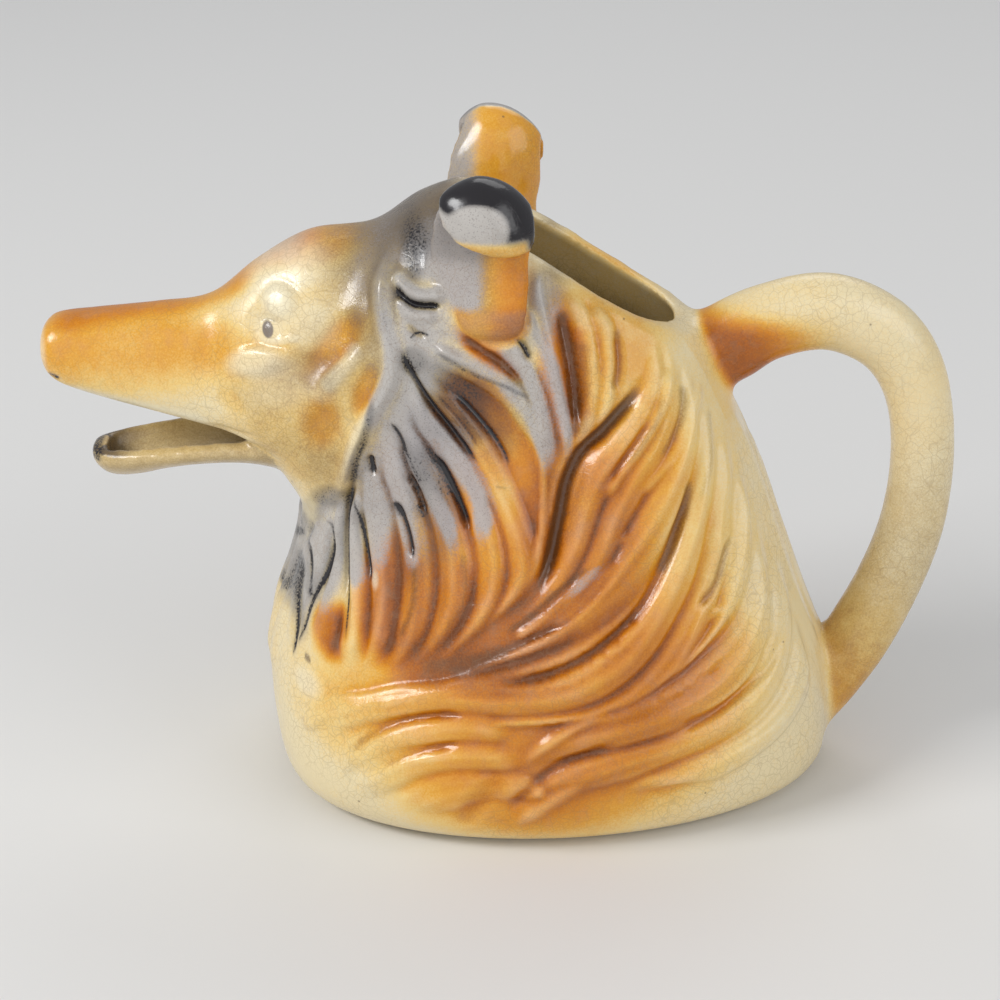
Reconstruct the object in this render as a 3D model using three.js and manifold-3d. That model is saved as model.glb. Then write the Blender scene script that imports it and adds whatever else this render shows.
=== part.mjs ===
// A glazed ceramic creamer modelled as the head and flowing mane of a long-nosed sheepdog.
// The slip-cast body is a hollow jug: milk goes in through the slanting mouth behind the ears
// and pours out between the open jaws, along the trough of the lower one. The loop handle and
// the two folded ears are cast by themselves and stuck to the body with slip before firing.
// Units are millimetres, +Z is up, the muzzle points to -X and the foot rests on Z = 0.

import * as THREE from "three";
import { mergeVertices } from "three/addons/utils/BufferGeometryUtils.js";
import Module from "manifold-3d";

const wasm = await Module();
wasm.setup();

// Driving sizes
const length = 156.2; // from the tip of the muzzle to the back of the handle
const width = 78.4; // across the widest slice of the body
const height = 113.4; // to the top of the ears
const handleThickness = 11; // of the grip, seen from the side
const handleBreadth = 10.8; // of the grip, across
const earThickness = 4.2; // at the fold
const lockHeight = 1.8; // how far the main locks of the mane stand out
const wall = 3.3; // thickness of the cast wall
const floorThickness = 3.4; // from the recess under the jug to its inside
const footRecess = 1.4; // depth of the hollow under the jug
const footRing = 5.5; // width of the ring that the jug stands on
const jointGap = 0.3; // slip joint between the body and each stuck-on piece
const lipWall = 2.3; // wall of the pouring trough in the lower jaw
const troughFloor = 2.3; // thickness under the trough
const cavityEnd = 17.2; // slice at which the hollow stops inside the muzzle

// Number of facets
const bodyRows = 64;
const maneRows = 42; // of those, the rows between the slices where the mane's locks are
const lowShare = 0.3; // share of the other rows that lies below the mane
const bodyColumns = 36; // on each side
const columnCrowding = 0.22; // how much the columns draw together on the sides of the head
const cavityRows = 26;
const cavityColumns = 14;
const jawRows = 16;
const jawColumns = 10;
const handleSteps = 28;
const handleSides = 14;
const earSteps = 20;
const earSides = 16;

// The outlines below are drawn for these main sizes, and are stretched to the driving ones.
const drawn = { length: 156.2, width: 78.4, height: 113.4 };
const stretch = {
  x: length / drawn.length,
  y: width / drawn.width,
  z: height / drawn.height,
};

// Catmull-Rom value at position s along equally spaced values, going straight on past the ends.
function splineAt(values, s) {
  const last = values.length - 1;
  const i = Math.max(0, Math.min(Math.floor(s), last - 1));
  const f = s - i;
  const p1 = values[i];
  const p2 = values[i + 1];
  const p0 = i > 0 ? values[i - 1] : 2 * p1 - p2;
  const p3 = i + 2 <= last ? values[i + 2] : 2 * p2 - p1;
  const a = -p0 + 3 * p1 - 3 * p2 + p3;
  const b = 2 * p0 - 5 * p1 + 4 * p2 - p3;
  const c = p2 - p0;
  return ((a * f + b) * f + c) * f * 0.5 + p1;
}

// Slices of the body, from the foot up the neck and out along the muzzle. Each one joins a point
// of the front outline to a point of the back outline, seen from the side. half is the slice's
// half width, full says how square its sides are (lower is squarer) and lean moves its widest
// place towards the front (above 1) or the back.
const slices = [
  { front: [-45, 0], back: [45, 0], half: 33, full: 0.9, lean: 1.2 },
  { front: [-48.4, 3], back: [48.3, 3], half: 37.4, full: 0.9, lean: 1.2 },
  { front: [-50, 9], back: [48.8, 10], half: 39.2, full: 0.9, lean: 1.2 },
  { front: [-51, 20], back: [47.2, 20.5], half: 38, full: 0.9, lean: 1.15 },
  { front: [-49.8, 29], back: [42.8, 32], half: 35, full: 0.88, lean: 1.1 },
  { front: [-47, 37], back: [38.8, 43], half: 31.5, full: 0.86, lean: 1.05 },
  { front: [-45, 44], back: [34.6, 55], half: 28, full: 0.84, lean: 1 },
  { front: [-44.6, 49], back: [29.5, 68.5], half: 25, full: 0.82, lean: 0.95 },
  { front: [-46, 52], back: [23, 82.5], half: 22.8, full: 0.82, lean: 0.95 },
  { front: [-47.2, 54], back: [13, 95], half: 21, full: 0.82, lean: 0.98 },
  { front: [-48.2, 56], back: [-1, 104], half: 19.4, full: 0.82, lean: 1.05 },
  { front: [-49, 58], back: [-13, 106.5], half: 18.2, full: 0.82, lean: 1.15 },
  { front: [-49.8, 59.8], back: [-22.5, 104.3], half: 17, full: 0.82, lean: 1.3 },
  { front: [-51, 61.6], back: [-31, 99], half: 15.6, full: 0.8, lean: 1.5 },
  { front: [-53.5, 63.2], back: [-42, 97.5], half: 13.8, full: 0.8, lean: 1.7 },
  { front: [-57, 64.6], back: [-51, 92.5], half: 11.8, full: 0.8, lean: 1.8 },
  { front: [-61, 65.6], back: [-59, 86.4], half: 10, full: 0.8, lean: 1.9 },
  { front: [-68, 67.4], back: [-68, 84.9], half: 8.8, full: 0.78, lean: 1.9 },
  { front: [-77, 69.6], back: [-77.5, 83.9], half: 7.7, full: 0.76, lean: 1.7 },
  { front: [-84, 71.6], back: [-84.6, 83], half: 6.8, full: 0.74, lean: 1.4 },
  { front: [-86.6, 73], back: [-86.8, 81.8], half: 5.8, full: 0.74, lean: 1.1 },
  { front: [-87.8, 75], back: [-87.8, 80.4], half: 4, full: 0.8, lean: 1 },
];

function sliceAt(s) {
  const value = (read) => splineAt(slices.map(read), s);
  return {
    front: [value((k) => k.front[0]) * stretch.x, value((k) => k.front[1]) * stretch.z],
    back: [value((k) => k.back[0]) * stretch.x, value((k) => k.back[1]) * stretch.z],
    half: value((k) => k.half) * stretch.y,
    full: value((k) => k.full),
    lean: value((k) => k.lean),
  };
}

// Locks of the mane as the side view shows them: half width, share of the lock height and the
// path of the crown. Both sides of the head carry the same locks.
const locks = [
  // Raised edge of the ruff, from the ear down the cheek to the throat
  { half: 3.4, rise: 0.85, path: [[-27, 99], [-29, 88], [-28, 79], [-33, 69], [-36.5, 58.5]] },
  // Hanging locks of the ruff, from the chest backwards
  { half: 3.2, rise: 0.7, path: [[-39.5, 53], [-40.5, 43], [-44.5, 31]] },
  { half: 3.4, rise: 0.8, path: [[-36.8, 56], [-37.5, 45], [-41, 33]] },
  { half: 3.4, rise: 0.8, path: [[-34, 57], [-33, 47], [-33, 38], [-34.5, 30]] },
  { half: 3.2, rise: 0.8, path: [[-31, 61], [-28.5, 51], [-29, 41], [-32, 31]] },
  { half: 3.2, rise: 0.8, path: [[-26.5, 66], [-21.5, 60], [-17.3, 50], [-20, 39], [-26, 31]] },
  { half: 3.4, rise: 0.8, path: [[-23, 75], [-15, 64], [-12.5, 54], [-13.5, 43], [-21, 33]] },
  { half: 3.6, rise: 0.8, path: [[-20, 78], [-11.5, 66], [-7.5, 54], [-9, 44], [-15, 38]] },
  // Roll of hair in front of the ear, and the locks that fan out from under it
  { half: 3, rise: 0.85, path: [[-27.3, 96], [-24.5, 92.8], [-18.5, 93]] },
  { half: 3, rise: 0.7, path: [[-21.5, 84.8], [-13, 80.6], [-6, 76]] },
  { half: 3.2, rise: 0.85, path: [[-11.5, 87.5], [-6, 80], [-3.2, 70], [-3.2, 60], [-6.5, 46]] },
  { half: 3, rise: 0.65, path: [[-6, 88.5], [-1.5, 79], [0.7, 67]] },
  { half: 3, rise: 0.65, path: [[4, 90], [4.6, 84], [5, 76]] },
  // Long locks that sweep down the neck and forward to the chest
  { half: 3.4, rise: 0.9, path: [[17.5, 82], [16.3, 73], [10.5, 64.5], [5.5, 55], [1, 48], [-7, 41]] },
  { half: 3.6, rise: 0.85, path: [[22, 78], [20, 68.5], [15.5, 60], [9.5, 50.5], [1, 42], [-10, 36.5]] },
  { half: 3.4, rise: 0.8, path: [[24.5, 68], [23, 56], [18, 47], [11, 41], [2, 36.5], [-10, 34.8]] },
  { half: 3.4, rise: 0.8, path: [[28, 64], [27.5, 52], [23.5, 43], [16, 35.5], [6, 31.5]] },
  { half: 3.6, rise: 0.95, path: [[8, 33], [-3, 30], [-14, 29.6], [-25, 27.4], [-34, 23.8], [-42, 19]] },
  { half: 3.4, rise: 0.8, path: [[31.5, 56], [31, 45], [27, 37], [19, 31], [8, 27.4], [-6, 25.6]] },
  { half: 3.6, rise: 0.9, path: [[36.5, 45], [34.5, 34], [27, 28], [14, 25.4], [3, 24], [-7.5, 17.2]] },
  { half: 3.2, rise: 0.7, path: [[-15, 23.4], [-24, 21.2], [-31, 17.6], [-36, 12]] },
  { half: 3.6, rise: 0.6, path: [[38, 33], [32, 23.5], [20, 20.3], [8, 16.3], [-4, 9.6]] },
  { half: 3.2, rise: 0.5, path: [[-8, 19], [-18, 16.5], [-27, 12]] },
];
// Deep grooves between them: half width, share of the lock height and the path of the bottom.
const grooves = [
  { half: 3.2, depth: 0.6, path: [[-0.8, 91], [1.2, 81], [2.2, 71.5]] },
  { half: 3.2, depth: 0.9, path: [[13.3, 79], [6.5, 70.6], [0.7, 63], [-1.2, 53], [-4.8, 44.3]] },
  { half: 3, depth: 0.8, path: [[20.5, 61], [18, 51], [12.5, 41.5], [2, 34], [-13, 31]] },
  { half: 2.6, depth: 0.5, path: [[-26.5, 84], [-22, 76], [-13.3, 65.3]] },
  { half: 2.6, depth: 0.5, path: [[-31.2, 74], [-35, 60], [-35.7, 45], [-35.5, 33]] },
];
const lockSamples = 5; // straight steps between two points of a path
const lockEnds = 0.25; // share of a lock's length over which it fades out at each end
const endWidth = 0.5; // share of its half width that a lock keeps at its very ends
const crownSharpness = 1.5; // power that draws a lock's section up to its crown

// Low swellings and hollows of the face in the side view: middle, radius and height.
const faceForms = [
  { at: [-45.5, 89.5], radius: 6, height: 1 }, // brow
  { at: [-48.8, 85], radius: 3.4, height: -1 }, // eye socket
  { at: [-38, 80.5], radius: 6, height: -0.8 }, // temple behind the eye
  { at: [-44, 77], radius: 5, height: 0.8 }, // cheekbone
  { at: [-36, 70], radius: 5, height: -0.6 }, // hollow of the cheek
];

const smoothstep = (x) => {
  const t = Math.max(0, Math.min(1, x));
  return t * t * (3 - 2 * t);
};

// Points at even steps along the curve through the points of a path.
function pathPoints({ path }) {
  const points = [];
  const steps = (path.length - 1) * lockSamples;
  for (let i = 0; i <= steps; i++) {
    points.push([0, 1].map((axis) => splineAt(path.map((point) => point[axis]), i / lockSamples)));
  }
  return points;
}
const lockPaths = locks.map(pathPoints);
const groovePaths = grooves.map(pathPoints);

// Distance from a path in the side view, and how far along it the nearest place is, 0 to 1.
function nearestOn(points, x, z) {
  let best = { distance: Infinity, along: 0 };
  for (let i = 0; i + 1 < points.length; i++) {
    const [x0, z0] = points[i];
    const [dx, dz] = [points[i + 1][0] - x0, points[i + 1][1] - z0];
    const f = Math.max(0, Math.min(1, ((x - x0) * dx + (z - z0) * dz) / (dx * dx + dz * dz)));
    const distance = Math.hypot(x - x0 - f * dx, z - z0 - f * dz);
    if (distance < best.distance) best = { distance, along: (i + f) / (points.length - 1) };
  }
  return best;
}

// How far a lock or groove stands in at a place, from 0 at its edges and ends to 1 on its path.
function presence(half, points, x, z) {
  const { distance, along } = nearestOn(points, x, z);
  const taper = smoothstep(Math.min(along, 1 - along) / lockEnds);
  const reach = half * (endWidth + (1 - endWidth) * taper);
  return distance < reach ? taper * (1 - (distance / reach) ** 2) ** crownSharpness : 0;
}

// Height of the mane and the face's forms above the plain surface at a place in the side view.
function relief(placeX, placeZ) {
  const [x, z] = [placeX / stretch.x, placeZ / stretch.z];
  const raised = locks.map(({ half, rise }, i) => rise * presence(half, lockPaths[i], x, z));
  const sunk = grooves.map(({ half, depth }, i) => depth * presence(half, groovePaths[i], x, z));
  let form = 0;
  for (const { at, radius, height } of faceForms) {
    const distance = Math.hypot(x - at[0], z - at[1]);
    form += height * smoothstep(1 - distance / radius);
  }
  return lockHeight * (Math.max(...raised) - Math.max(...sunk)) + form;
}

// Point of the plain body surface. angle is 0 on the front line and PI on the back line.
function bodyPoint(s, angle, side) {
  const slice = sliceAt(s);
  const along = Math.pow((1 - Math.cos(angle)) / 2, slice.lean);
  const across = slice.half * Math.pow(Math.max(0, Math.sin(angle)), slice.full);
  return new THREE.Vector3(
    slice.front[0] + (slice.back[0] - slice.front[0]) * along,
    side * across,
    slice.front[1] + (slice.back[1] - slice.front[1]) * along,
  );
}

// Outward normal of the plain body surface, from points a small step away.
function bodyNormal(s, angle, side) {
  const step = 0.02;
  const a = Math.max(step, Math.min(Math.PI - step, angle));
  const alongBody = bodyPoint(s + step, a, side).sub(bodyPoint(s - step, a, side));
  const aroundBody = bodyPoint(s, a + step, side).sub(bodyPoint(s, a - step, side));
  const normal = aroundBody.cross(alongBody).multiplyScalar(-side).normalize();
  if (angle <= 0 || angle >= Math.PI) normal.setY(0).normalize();
  return normal;
}

// Closed surface through rings of points, with a fan at each end.
function loft(rings) {
  const positions = [];
  const count = rings[0].length;
  const middle = (ring) =>
    ring.reduce((sum, p) => sum.add(p), new THREE.Vector3()).divideScalar(count);
  const triangle = (a, b, c) => positions.push(...a.toArray(), ...b.toArray(), ...c.toArray());
  const first = rings[0];
  const last = rings[rings.length - 1];
  const start = middle(first);
  const end = middle(last);
  for (let j = 0; j < count; j++) {
    const k = (j + 1) % count;
    triangle(start, first[k], first[j]);
    triangle(end, last[j], last[k]);
    for (let i = 0; i + 1 < rings.length; i++) {
      triangle(rings[i][j], rings[i][k], rings[i + 1][k]);
      triangle(rings[i][j], rings[i + 1][k], rings[i + 1][j]);
    }
  }
  const geometry = new THREE.BufferGeometry();
  geometry.setAttribute("position", new THREE.Float32BufferAttribute(positions, 3));
  return geometry;
}

// A closed geometry as a solid that can be joined and cut, facing out whichever way it was drawn.
function solid(geometry) {
  const plain = geometry.clone();
  for (const name of Object.keys(plain.attributes)) {
    if (name !== "position") plain.deleteAttribute(name);
  }
  const merged = mergeVertices(plain, 1e-4);
  const corners = Uint32Array.from(merged.index.array);
  const at = (i) => new THREE.Vector3().fromBufferAttribute(merged.attributes.position, corners[i]);
  let volume = 0;
  for (let i = 0; i < corners.length; i += 3) volume += at(i).dot(at(i + 1).cross(at(i + 2)));
  if (volume < 0) {
    for (let i = 0; i < corners.length; i += 3) {
      [corners[i + 1], corners[i + 2]] = [corners[i + 2], corners[i + 1]];
    }
  }
  const vertProperties = merged.attributes.position.array;
  return new wasm.Manifold(new wasm.Mesh({ numProp: 3, vertProperties, triVerts: corners }));
}

// The biggest piece of a solid that trimming may have left in several.
function biggest(made) {
  const pieces = made.decompose();
  return pieces.reduce((best, piece) => (piece.volume() > best.volume() ? piece : best));
}

function geometryOf(made) {
  const mesh = made.getMesh();
  const geometry = new THREE.BufferGeometry();
  geometry.setAttribute("position", new THREE.BufferAttribute(mesh.vertProperties, 3));
  geometry.setIndex(new THREE.BufferAttribute(mesh.triVerts, 1));
  geometry.computeVertexNormals();
  return geometry;
}

// The relief fades out where the surface turns away from the side view.
const reliefFade = 0.45; // sideways part of the normal at which it is whole

// Ring of body points at s, moved out along the normal by offset and, if carved, by the relief.
function bodyRing(s, columns, offset, carved) {
  const ring = [];
  for (let j = 0; j < 2 * columns; j++) {
    const side = j < columns ? -1 : 1;
    const even = (Math.PI * (j < columns ? j : 2 * columns - j)) / columns;
    const angle = even + columnCrowding * Math.sin(2 * even);
    const normal = bodyNormal(s, angle, side);
    const point = bodyPoint(s, angle, side);
    const fade = smoothstep(Math.abs(normal.y) / reliefFade);
    const height = carved ? relief(point.x, point.z) * fade : 0;
    ring.push(point.addScaledVector(normal, offset + height));
  }
  return ring;
}

function bodyLoft(places, columns, offset, carved) {
  return solid(loft(places.map((s) => bodyRing(s, columns, offset, carved))));
}

// Evenly spread places from one slice to another, the last one included.
const spread = (from, to, count) =>
  Array.from({ length: count + 1 }, (_, i) => from + ((to - from) * i) / count);

// Outer skin of the jug before the mouth is cut, grown by offset.
const maneFrom = 1.8; // first and last slice that the mane reaches
const maneTo = 11.5;
function skin(offset) {
  const lastSlice = slices.length - 1;
  const plainRows = bodyRows - maneRows;
  const lowRows = Math.round(plainRows * lowShare);
  const places = [
    ...spread(0, maneFrom, lowRows).slice(0, -1),
    ...spread(maneFrom, maneTo, maneRows),
    ...spread(maneTo, lastSlice, plainRows - lowRows).slice(1),
  ];
  return bodyLoft(places, bodyColumns, offset, true);
}

// Slice at which the front outline has climbed to the given level above the foot.
function sliceAtLevel(level) {
  let s = 0;
  while (sliceAt(s).front[1] < level) s += 0.01;
  return s;
}

// Lower jaw: upright sections from inside the throat out to the tip, each with the height of its
// underside, the height of its lip, its half width, and how far above the lip the trough is cut
// clear: high in the throat, so that it opens into the jug, and short of the palate further out.
const jawSections = [
  { x: -38, under: 52, lip: 63, half: 8, clear: 7 },
  { x: -46, under: 54, lip: 63.4, half: 9.4, clear: 6.6 },
  { x: -53, under: 56, lip: 63.2, half: 9.6, clear: 3.6 },
  { x: -60, under: 56, lip: 62.5, half: 8.9, clear: 2 },
  { x: -67, under: 55, lip: 61.6, half: 8, clear: 2 },
  { x: -73, under: 53.6, lip: 60.8, half: 7.2, clear: 2 },
  { x: -77.4, under: 53.5, lip: 60.1, half: 5.8, clear: 2 },
  { x: -79.8, under: 55, lip: 59.7, half: 3.9, clear: 2 },
  { x: -80.7, under: 57, lip: 59.4, half: 1.8, clear: 2 },
];

const jawFullness = 0.75; // how square the underside of the jaw is, lower is squarer
const troughFullness = 0.55;
const widestHeight = 0.5; // power that puts a section's widest place near the lip

// Section of the jaw or its trough: flat on top, round underneath.
function jawRing(x, half, under, over, fullness) {
  const ring = [];
  for (let j = 0; j < 2 * jawColumns; j++) {
    const angle = (Math.PI * j) / jawColumns;
    const up = Math.pow((1 - Math.cos(angle)) / 2, widestHeight);
    const across = Math.sign(Math.sin(angle)) * Math.pow(Math.abs(Math.sin(angle)), fullness);
    ring.push(new THREE.Vector3(x, half * across, under + (over - under) * up));
  }
  return ring;
}

function jawLoft(ringAt, end) {
  const rings = [];
  for (let i = 0; i <= jawRows; i++) {
    const s = (end * i) / jawRows;
    const value = (name) => splineAt(jawSections.map((section) => section[name]), s);
    const heights = ["under", "lip", "clear"].map((name) => value(name) * stretch.z);
    rings.push(ringAt(value("x") * stretch.x, value("half") * stretch.y, ...heights));
  }
  return solid(loft(rings));
}

const lastJaw = jawSections.length - 1;
const troughEnd = lastJaw - 1.9; // section at which the trough stops behind the jaw's tip
const jaw = jawLoft((x, half, under, lip) => jawRing(x, half, under, lip, jawFullness), lastJaw);
const trough = jawLoft(
  (x, half, under, lip, clear) =>
    jawRing(x, half - lipWall, under + troughFloor, lip + clear, troughFullness),
  troughEnd,
);

// The mouth that the milk goes in through, cut off along a slanting line seen from the side.
const mouthLine = [
  [-16.5, 112],
  [-14.5, 105],
  [-11.5, 101.6],
  [-3, 96.6],
  [6, 90.7],
  [13, 86.5],
  [17.5, 84.3],
  [22, 82.4],
  [34, 81],
];

function mouthCutter() {
  const line = mouthLine.map(([x, z]) => new THREE.Vector2(x * stretch.x, z * stretch.z));
  const shape = new THREE.Shape(line);
  shape.lineTo(line[line.length - 1].x, height + wall);
  shape.lineTo(line[0].x, height + wall);
  const geometry = new THREE.ExtrudeGeometry(shape, { depth: width, bevelEnabled: false });
  geometry.rotateX(Math.PI / 2);
  geometry.translate(0, width / 2, 0);
  return solid(geometry);
}

// Hollow under the jug, leaving a ring to stand on.
const footSlice = 0.5; // slice whose outline the recess follows
const footBelow = 2; // how far the cutter reaches below the foot

function footCutter() {
  const outline = bodyRing(footSlice, bodyColumns / 2, 0, false);
  const inset = (height) =>
    outline.map(({ x, y }) => {
      const scale = 1 - footRing / Math.hypot(x, y);
      return new THREE.Vector3(x * scale, y * scale, height);
    });
  return solid(loft([inset(-footBelow), inset(footRecess)]));
}

const cavity = bodyLoft(
  spread(sliceAtLevel(footRecess + floorThickness), cavityEnd, cavityRows),
  cavityColumns,
  -wall,
  false,
);

// Handle: middle line seen from the side, with the shares of its thickness and breadth there.
const handleStations = [
  { at: [17, 74], thick: 1.36, across: 1.16 },
  { at: [26.5, 77], thick: 1.33, across: 1.13 },
  { at: [34.5, 81.4], thick: 1.21, across: 1.07 },
  { at: [44.5, 83.5], thick: 1.21, across: 1.06 },
  { at: [53.4, 80.3], thick: 1.15, across: 1.04 },
  { at: [59, 74.2], thick: 1.07, across: 1.02 },
  { at: [62, 65.5], thick: 1, across: 1 },
  { at: [62.9, 54.5], thick: 1, across: 1 },
  { at: [61.8, 43.2], thick: 1.03, across: 1.02 },
  { at: [58.5, 32.2], thick: 1.05, across: 1.04 },
  { at: [53.8, 21.8], thick: 1.11, across: 1.07 },
  { at: [49, 14.4], thick: 1.16, across: 1.17 },
  { at: [44.6, 8.4], thick: 1.16, across: 1.2 },
  { at: [42, 5.6], thick: 0.82, across: 1.02 },
];

function handleLoft() {
  const last = handleStations.length - 1;
  const value = (read, s) => splineAt(handleStations.map(read), s);
  const middle = (s) =>
    new THREE.Vector2(value((k) => k.at[0], s) * stretch.x, value((k) => k.at[1], s) * stretch.z);
  const rings = [];
  for (let i = 0; i <= handleSteps; i++) {
    const s = (last * i) / handleSteps;
    const here = middle(s);
    const direction = middle(s + 0.01).sub(middle(s - 0.01)).normalize();
    const thick = (handleThickness * value((k) => k.thick, s)) / 2;
    const across = (handleBreadth * value((k) => k.across, s)) / 2;
    const ring = [];
    for (let j = 0; j < handleSides; j++) {
      const angle = (2 * Math.PI * j) / handleSides;
      const out = thick * Math.cos(angle);
      ring.push(
        new THREE.Vector3(
          here.x - direction.y * out,
          across * Math.sin(angle),
          here.y + direction.x * out,
        ),
      );
    }
    rings.push(ring);
  }
  return solid(loft(rings));
}

// Ear: a tongue that stands up from a lobe on the side of the head and folds over outwards at the
// top. out is the distance from the middle plane of the head and thick a share of the ear's
// thickness. front and back are how far those edges curl out of the tongue and in under the fold;
// below zero the edge runs into the head. slant is how steeply the ear falls backwards.
const earStations = [
  { x: -10.4, out: 17.4, z: 86.5, width: 6.5, thick: 1, front: 0.2, back: 0.5, slant: 0 },
  { x: -10.6, out: 18.6, z: 88.5, width: 10.5, thick: 1.24, front: 0.3, back: 1.2, slant: 0 },
  { x: -11.4, out: 17.4, z: 92.5, width: 13.4, thick: 1.14, front: -1.2, back: 2.6, slant: 0 },
  { x: -12.4, out: 16.3, z: 98, width: 16.4, thick: 1.1, front: -1.8, back: 3.2, slant: 0 },
  { x: -12.2, out: 15.9, z: 103.5, width: 16, thick: 1.05, front: 0.6, back: 2.9, slant: 0.05 },
  { x: -11.6, out: 16.9, z: 108, width: 14.8, thick: 1, front: 1.8, back: 2.5, slant: 0.1 },
  { x: -11, out: 19.2, z: 111, width: 14, thick: 1, front: 2, back: 2.2, slant: 0.18 },
  { x: -11.2, out: 22.4, z: 110.8, width: 15, thick: 1, front: 2.4, back: 2.6, slant: 0.26 },
  { x: -11.3, out: 25, z: 107.8, width: 15.6, thick: 0.95, front: 2.8, back: 3, slant: 0.3 },
  { x: -11.4, out: 25.8, z: 104.2, width: 14, thick: 0.86, front: 2.4, back: 2.6, slant: 0.3 },
  { x: -11.6, out: 25.4, z: 102.2, width: 9.6, thick: 0.62, front: 1.4, back: 1.6, slant: 0.3 },
];
const earSlip = 1; // how far each ear was stuck on off its place, one forwards and one back
const earFullness = 0.9; // how square the ear's edges are, lower is squarer

function earLoft(side) {
  const last = earStations.length - 1;
  const scales = {
    x: stretch.x,
    out: stretch.y,
    z: stretch.z,
    width: stretch.x,
    thick: earThickness,
    front: stretch.y,
    back: stretch.y,
    slant: 1,
  };
  const value = (name, s) =>
    scales[name] * splineAt(earStations.map((station) => station[name]), s);
  const rings = [];
  for (let i = 0; i <= earSteps; i++) {
    const s = (last * i) / earSteps;
    const direction = new THREE.Vector2(
      value("out", s + 0.01) - value("out", s - 0.01),
      value("z", s + 0.01) - value("z", s - 0.01),
    ).normalize();
    const half = value("width", s) / 2;
    const thick = value("thick", s) / 2;
    const front = value("front", s);
    const back = value("back", s);
    const ring = [];
    for (let j = 0; j < earSides; j++) {
      const angle = (2 * Math.PI * j) / earSides;
      const wide = Math.sign(Math.cos(angle)) * Math.pow(Math.abs(Math.cos(angle)), earFullness);
      const curl = wide < 0 ? front : back;
      const up = thick * Math.sin(angle) - curl * wide * wide;
      const out = value("out", s) - direction.y * up;
      const along = value("x", s) + side * earSlip + half * wide;
      const fall = value("slant", s) * half * wide;
      ring.push(new THREE.Vector3(along, side * out, value("z", s) + direction.x * up - fall));
    }
    rings.push(ring);
  }
  return solid(loft(rings));
}

// Average colours of the glaze: orange on the body, cream on the handle, smoky orange on the ears.
const glazes = { body: 0xcf9a58, handle: 0xe3d6b8, ear_left: 0xa98257, ear_right: 0xa98257 };
const glazeRoughness = 0.18;

const creamer = new THREE.Group();
const pieces = new THREE.Group();
pieces.name = "pieces";
creamer.add(pieces);

function add(name, made) {
  const glaze = new THREE.MeshStandardMaterial({
    color: glazes[name],
    roughness: glazeRoughness,
    metalness: 0,
  });
  const mesh = new THREE.Mesh(geometryOf(biggest(made)), glaze);
  mesh.name = name;
  pieces.add(mesh);
}

const grownSkin = skin(jointGap);
const body = skin(0)
  .add(jaw)
  .subtract(cavity)
  .subtract(trough)
  .subtract(mouthCutter())
  .subtract(footCutter());

add("body", body);
add("handle", handleLoft().subtract(grownSkin));
add("ear_left", earLoft(-1).subtract(grownSkin));
add("ear_right", earLoft(1).subtract(grownSkin));

// The origin is under the middle of the whole object, on the plane that the foot stands on.
const bounds = new THREE.Box3().setFromObject(pieces);
pieces.position.x = -bounds.getCenter(new THREE.Vector3()).x;

export default creamer;
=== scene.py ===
# Looks of a glazed ceramic creamer: the head of a long-nosed sheepdog with a flowing mane.
# The clay is built once as a single form, so that the handle and the ears run into the body in
# soft fillets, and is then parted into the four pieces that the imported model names.
# Shapes are worked out in millimetres in the side view (x runs from the nose at NOSE_X to the
# handle, z up from the foot), and are moved into the frame, in metres, at the end.
import math
import bpy
import bmesh
import numpy as np
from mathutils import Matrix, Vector
from mathutils.bvhtree import BVHTree


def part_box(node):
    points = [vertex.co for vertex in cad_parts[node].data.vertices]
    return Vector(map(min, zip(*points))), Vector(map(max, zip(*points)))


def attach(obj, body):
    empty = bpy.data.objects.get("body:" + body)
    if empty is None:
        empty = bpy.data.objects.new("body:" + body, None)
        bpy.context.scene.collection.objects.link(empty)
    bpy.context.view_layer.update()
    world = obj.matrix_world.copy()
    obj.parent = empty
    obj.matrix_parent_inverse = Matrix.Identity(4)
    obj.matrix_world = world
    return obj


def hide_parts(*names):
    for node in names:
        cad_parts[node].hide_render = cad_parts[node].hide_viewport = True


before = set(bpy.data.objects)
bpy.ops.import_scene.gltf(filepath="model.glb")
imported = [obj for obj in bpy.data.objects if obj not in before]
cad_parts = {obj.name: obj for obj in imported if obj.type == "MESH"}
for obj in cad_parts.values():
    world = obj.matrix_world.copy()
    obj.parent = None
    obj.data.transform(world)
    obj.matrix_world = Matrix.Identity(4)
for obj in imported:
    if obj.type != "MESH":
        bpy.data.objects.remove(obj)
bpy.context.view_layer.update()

MM = 0.001
NOSE_X = -87.8
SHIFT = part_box("body")[0].x / MM - NOSE_X

# Sizes of the clay
WALL = 3.3
FLOOR_LEVEL = 4.8
FOOT_RECESS = 1.4
FOOT_RING = 5.5
BELOW_FOOT = -2
LIP_WALL = 2.3
TROUGH_FLOOR = 2.3
CAVITY_END = 17.2
VOXEL = 0.55

# Rows and columns of each loft
SKIN_ROWS, SKIN_COLUMNS = 190, 80
CAVITY_ROWS, CAVITY_COLUMNS = 120, 60
JAW_ROWS, JAW_COLUMNS = 60, 28
TROUGH_ROWS, TROUGH_COLUMNS = 50, 24
EAR_ROWS, EAR_COLUMNS = 60, 48
HANDLE_ROWS, HANDLE_COLUMNS = 140, 40
FOOT_COLUMNS = 60

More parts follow.
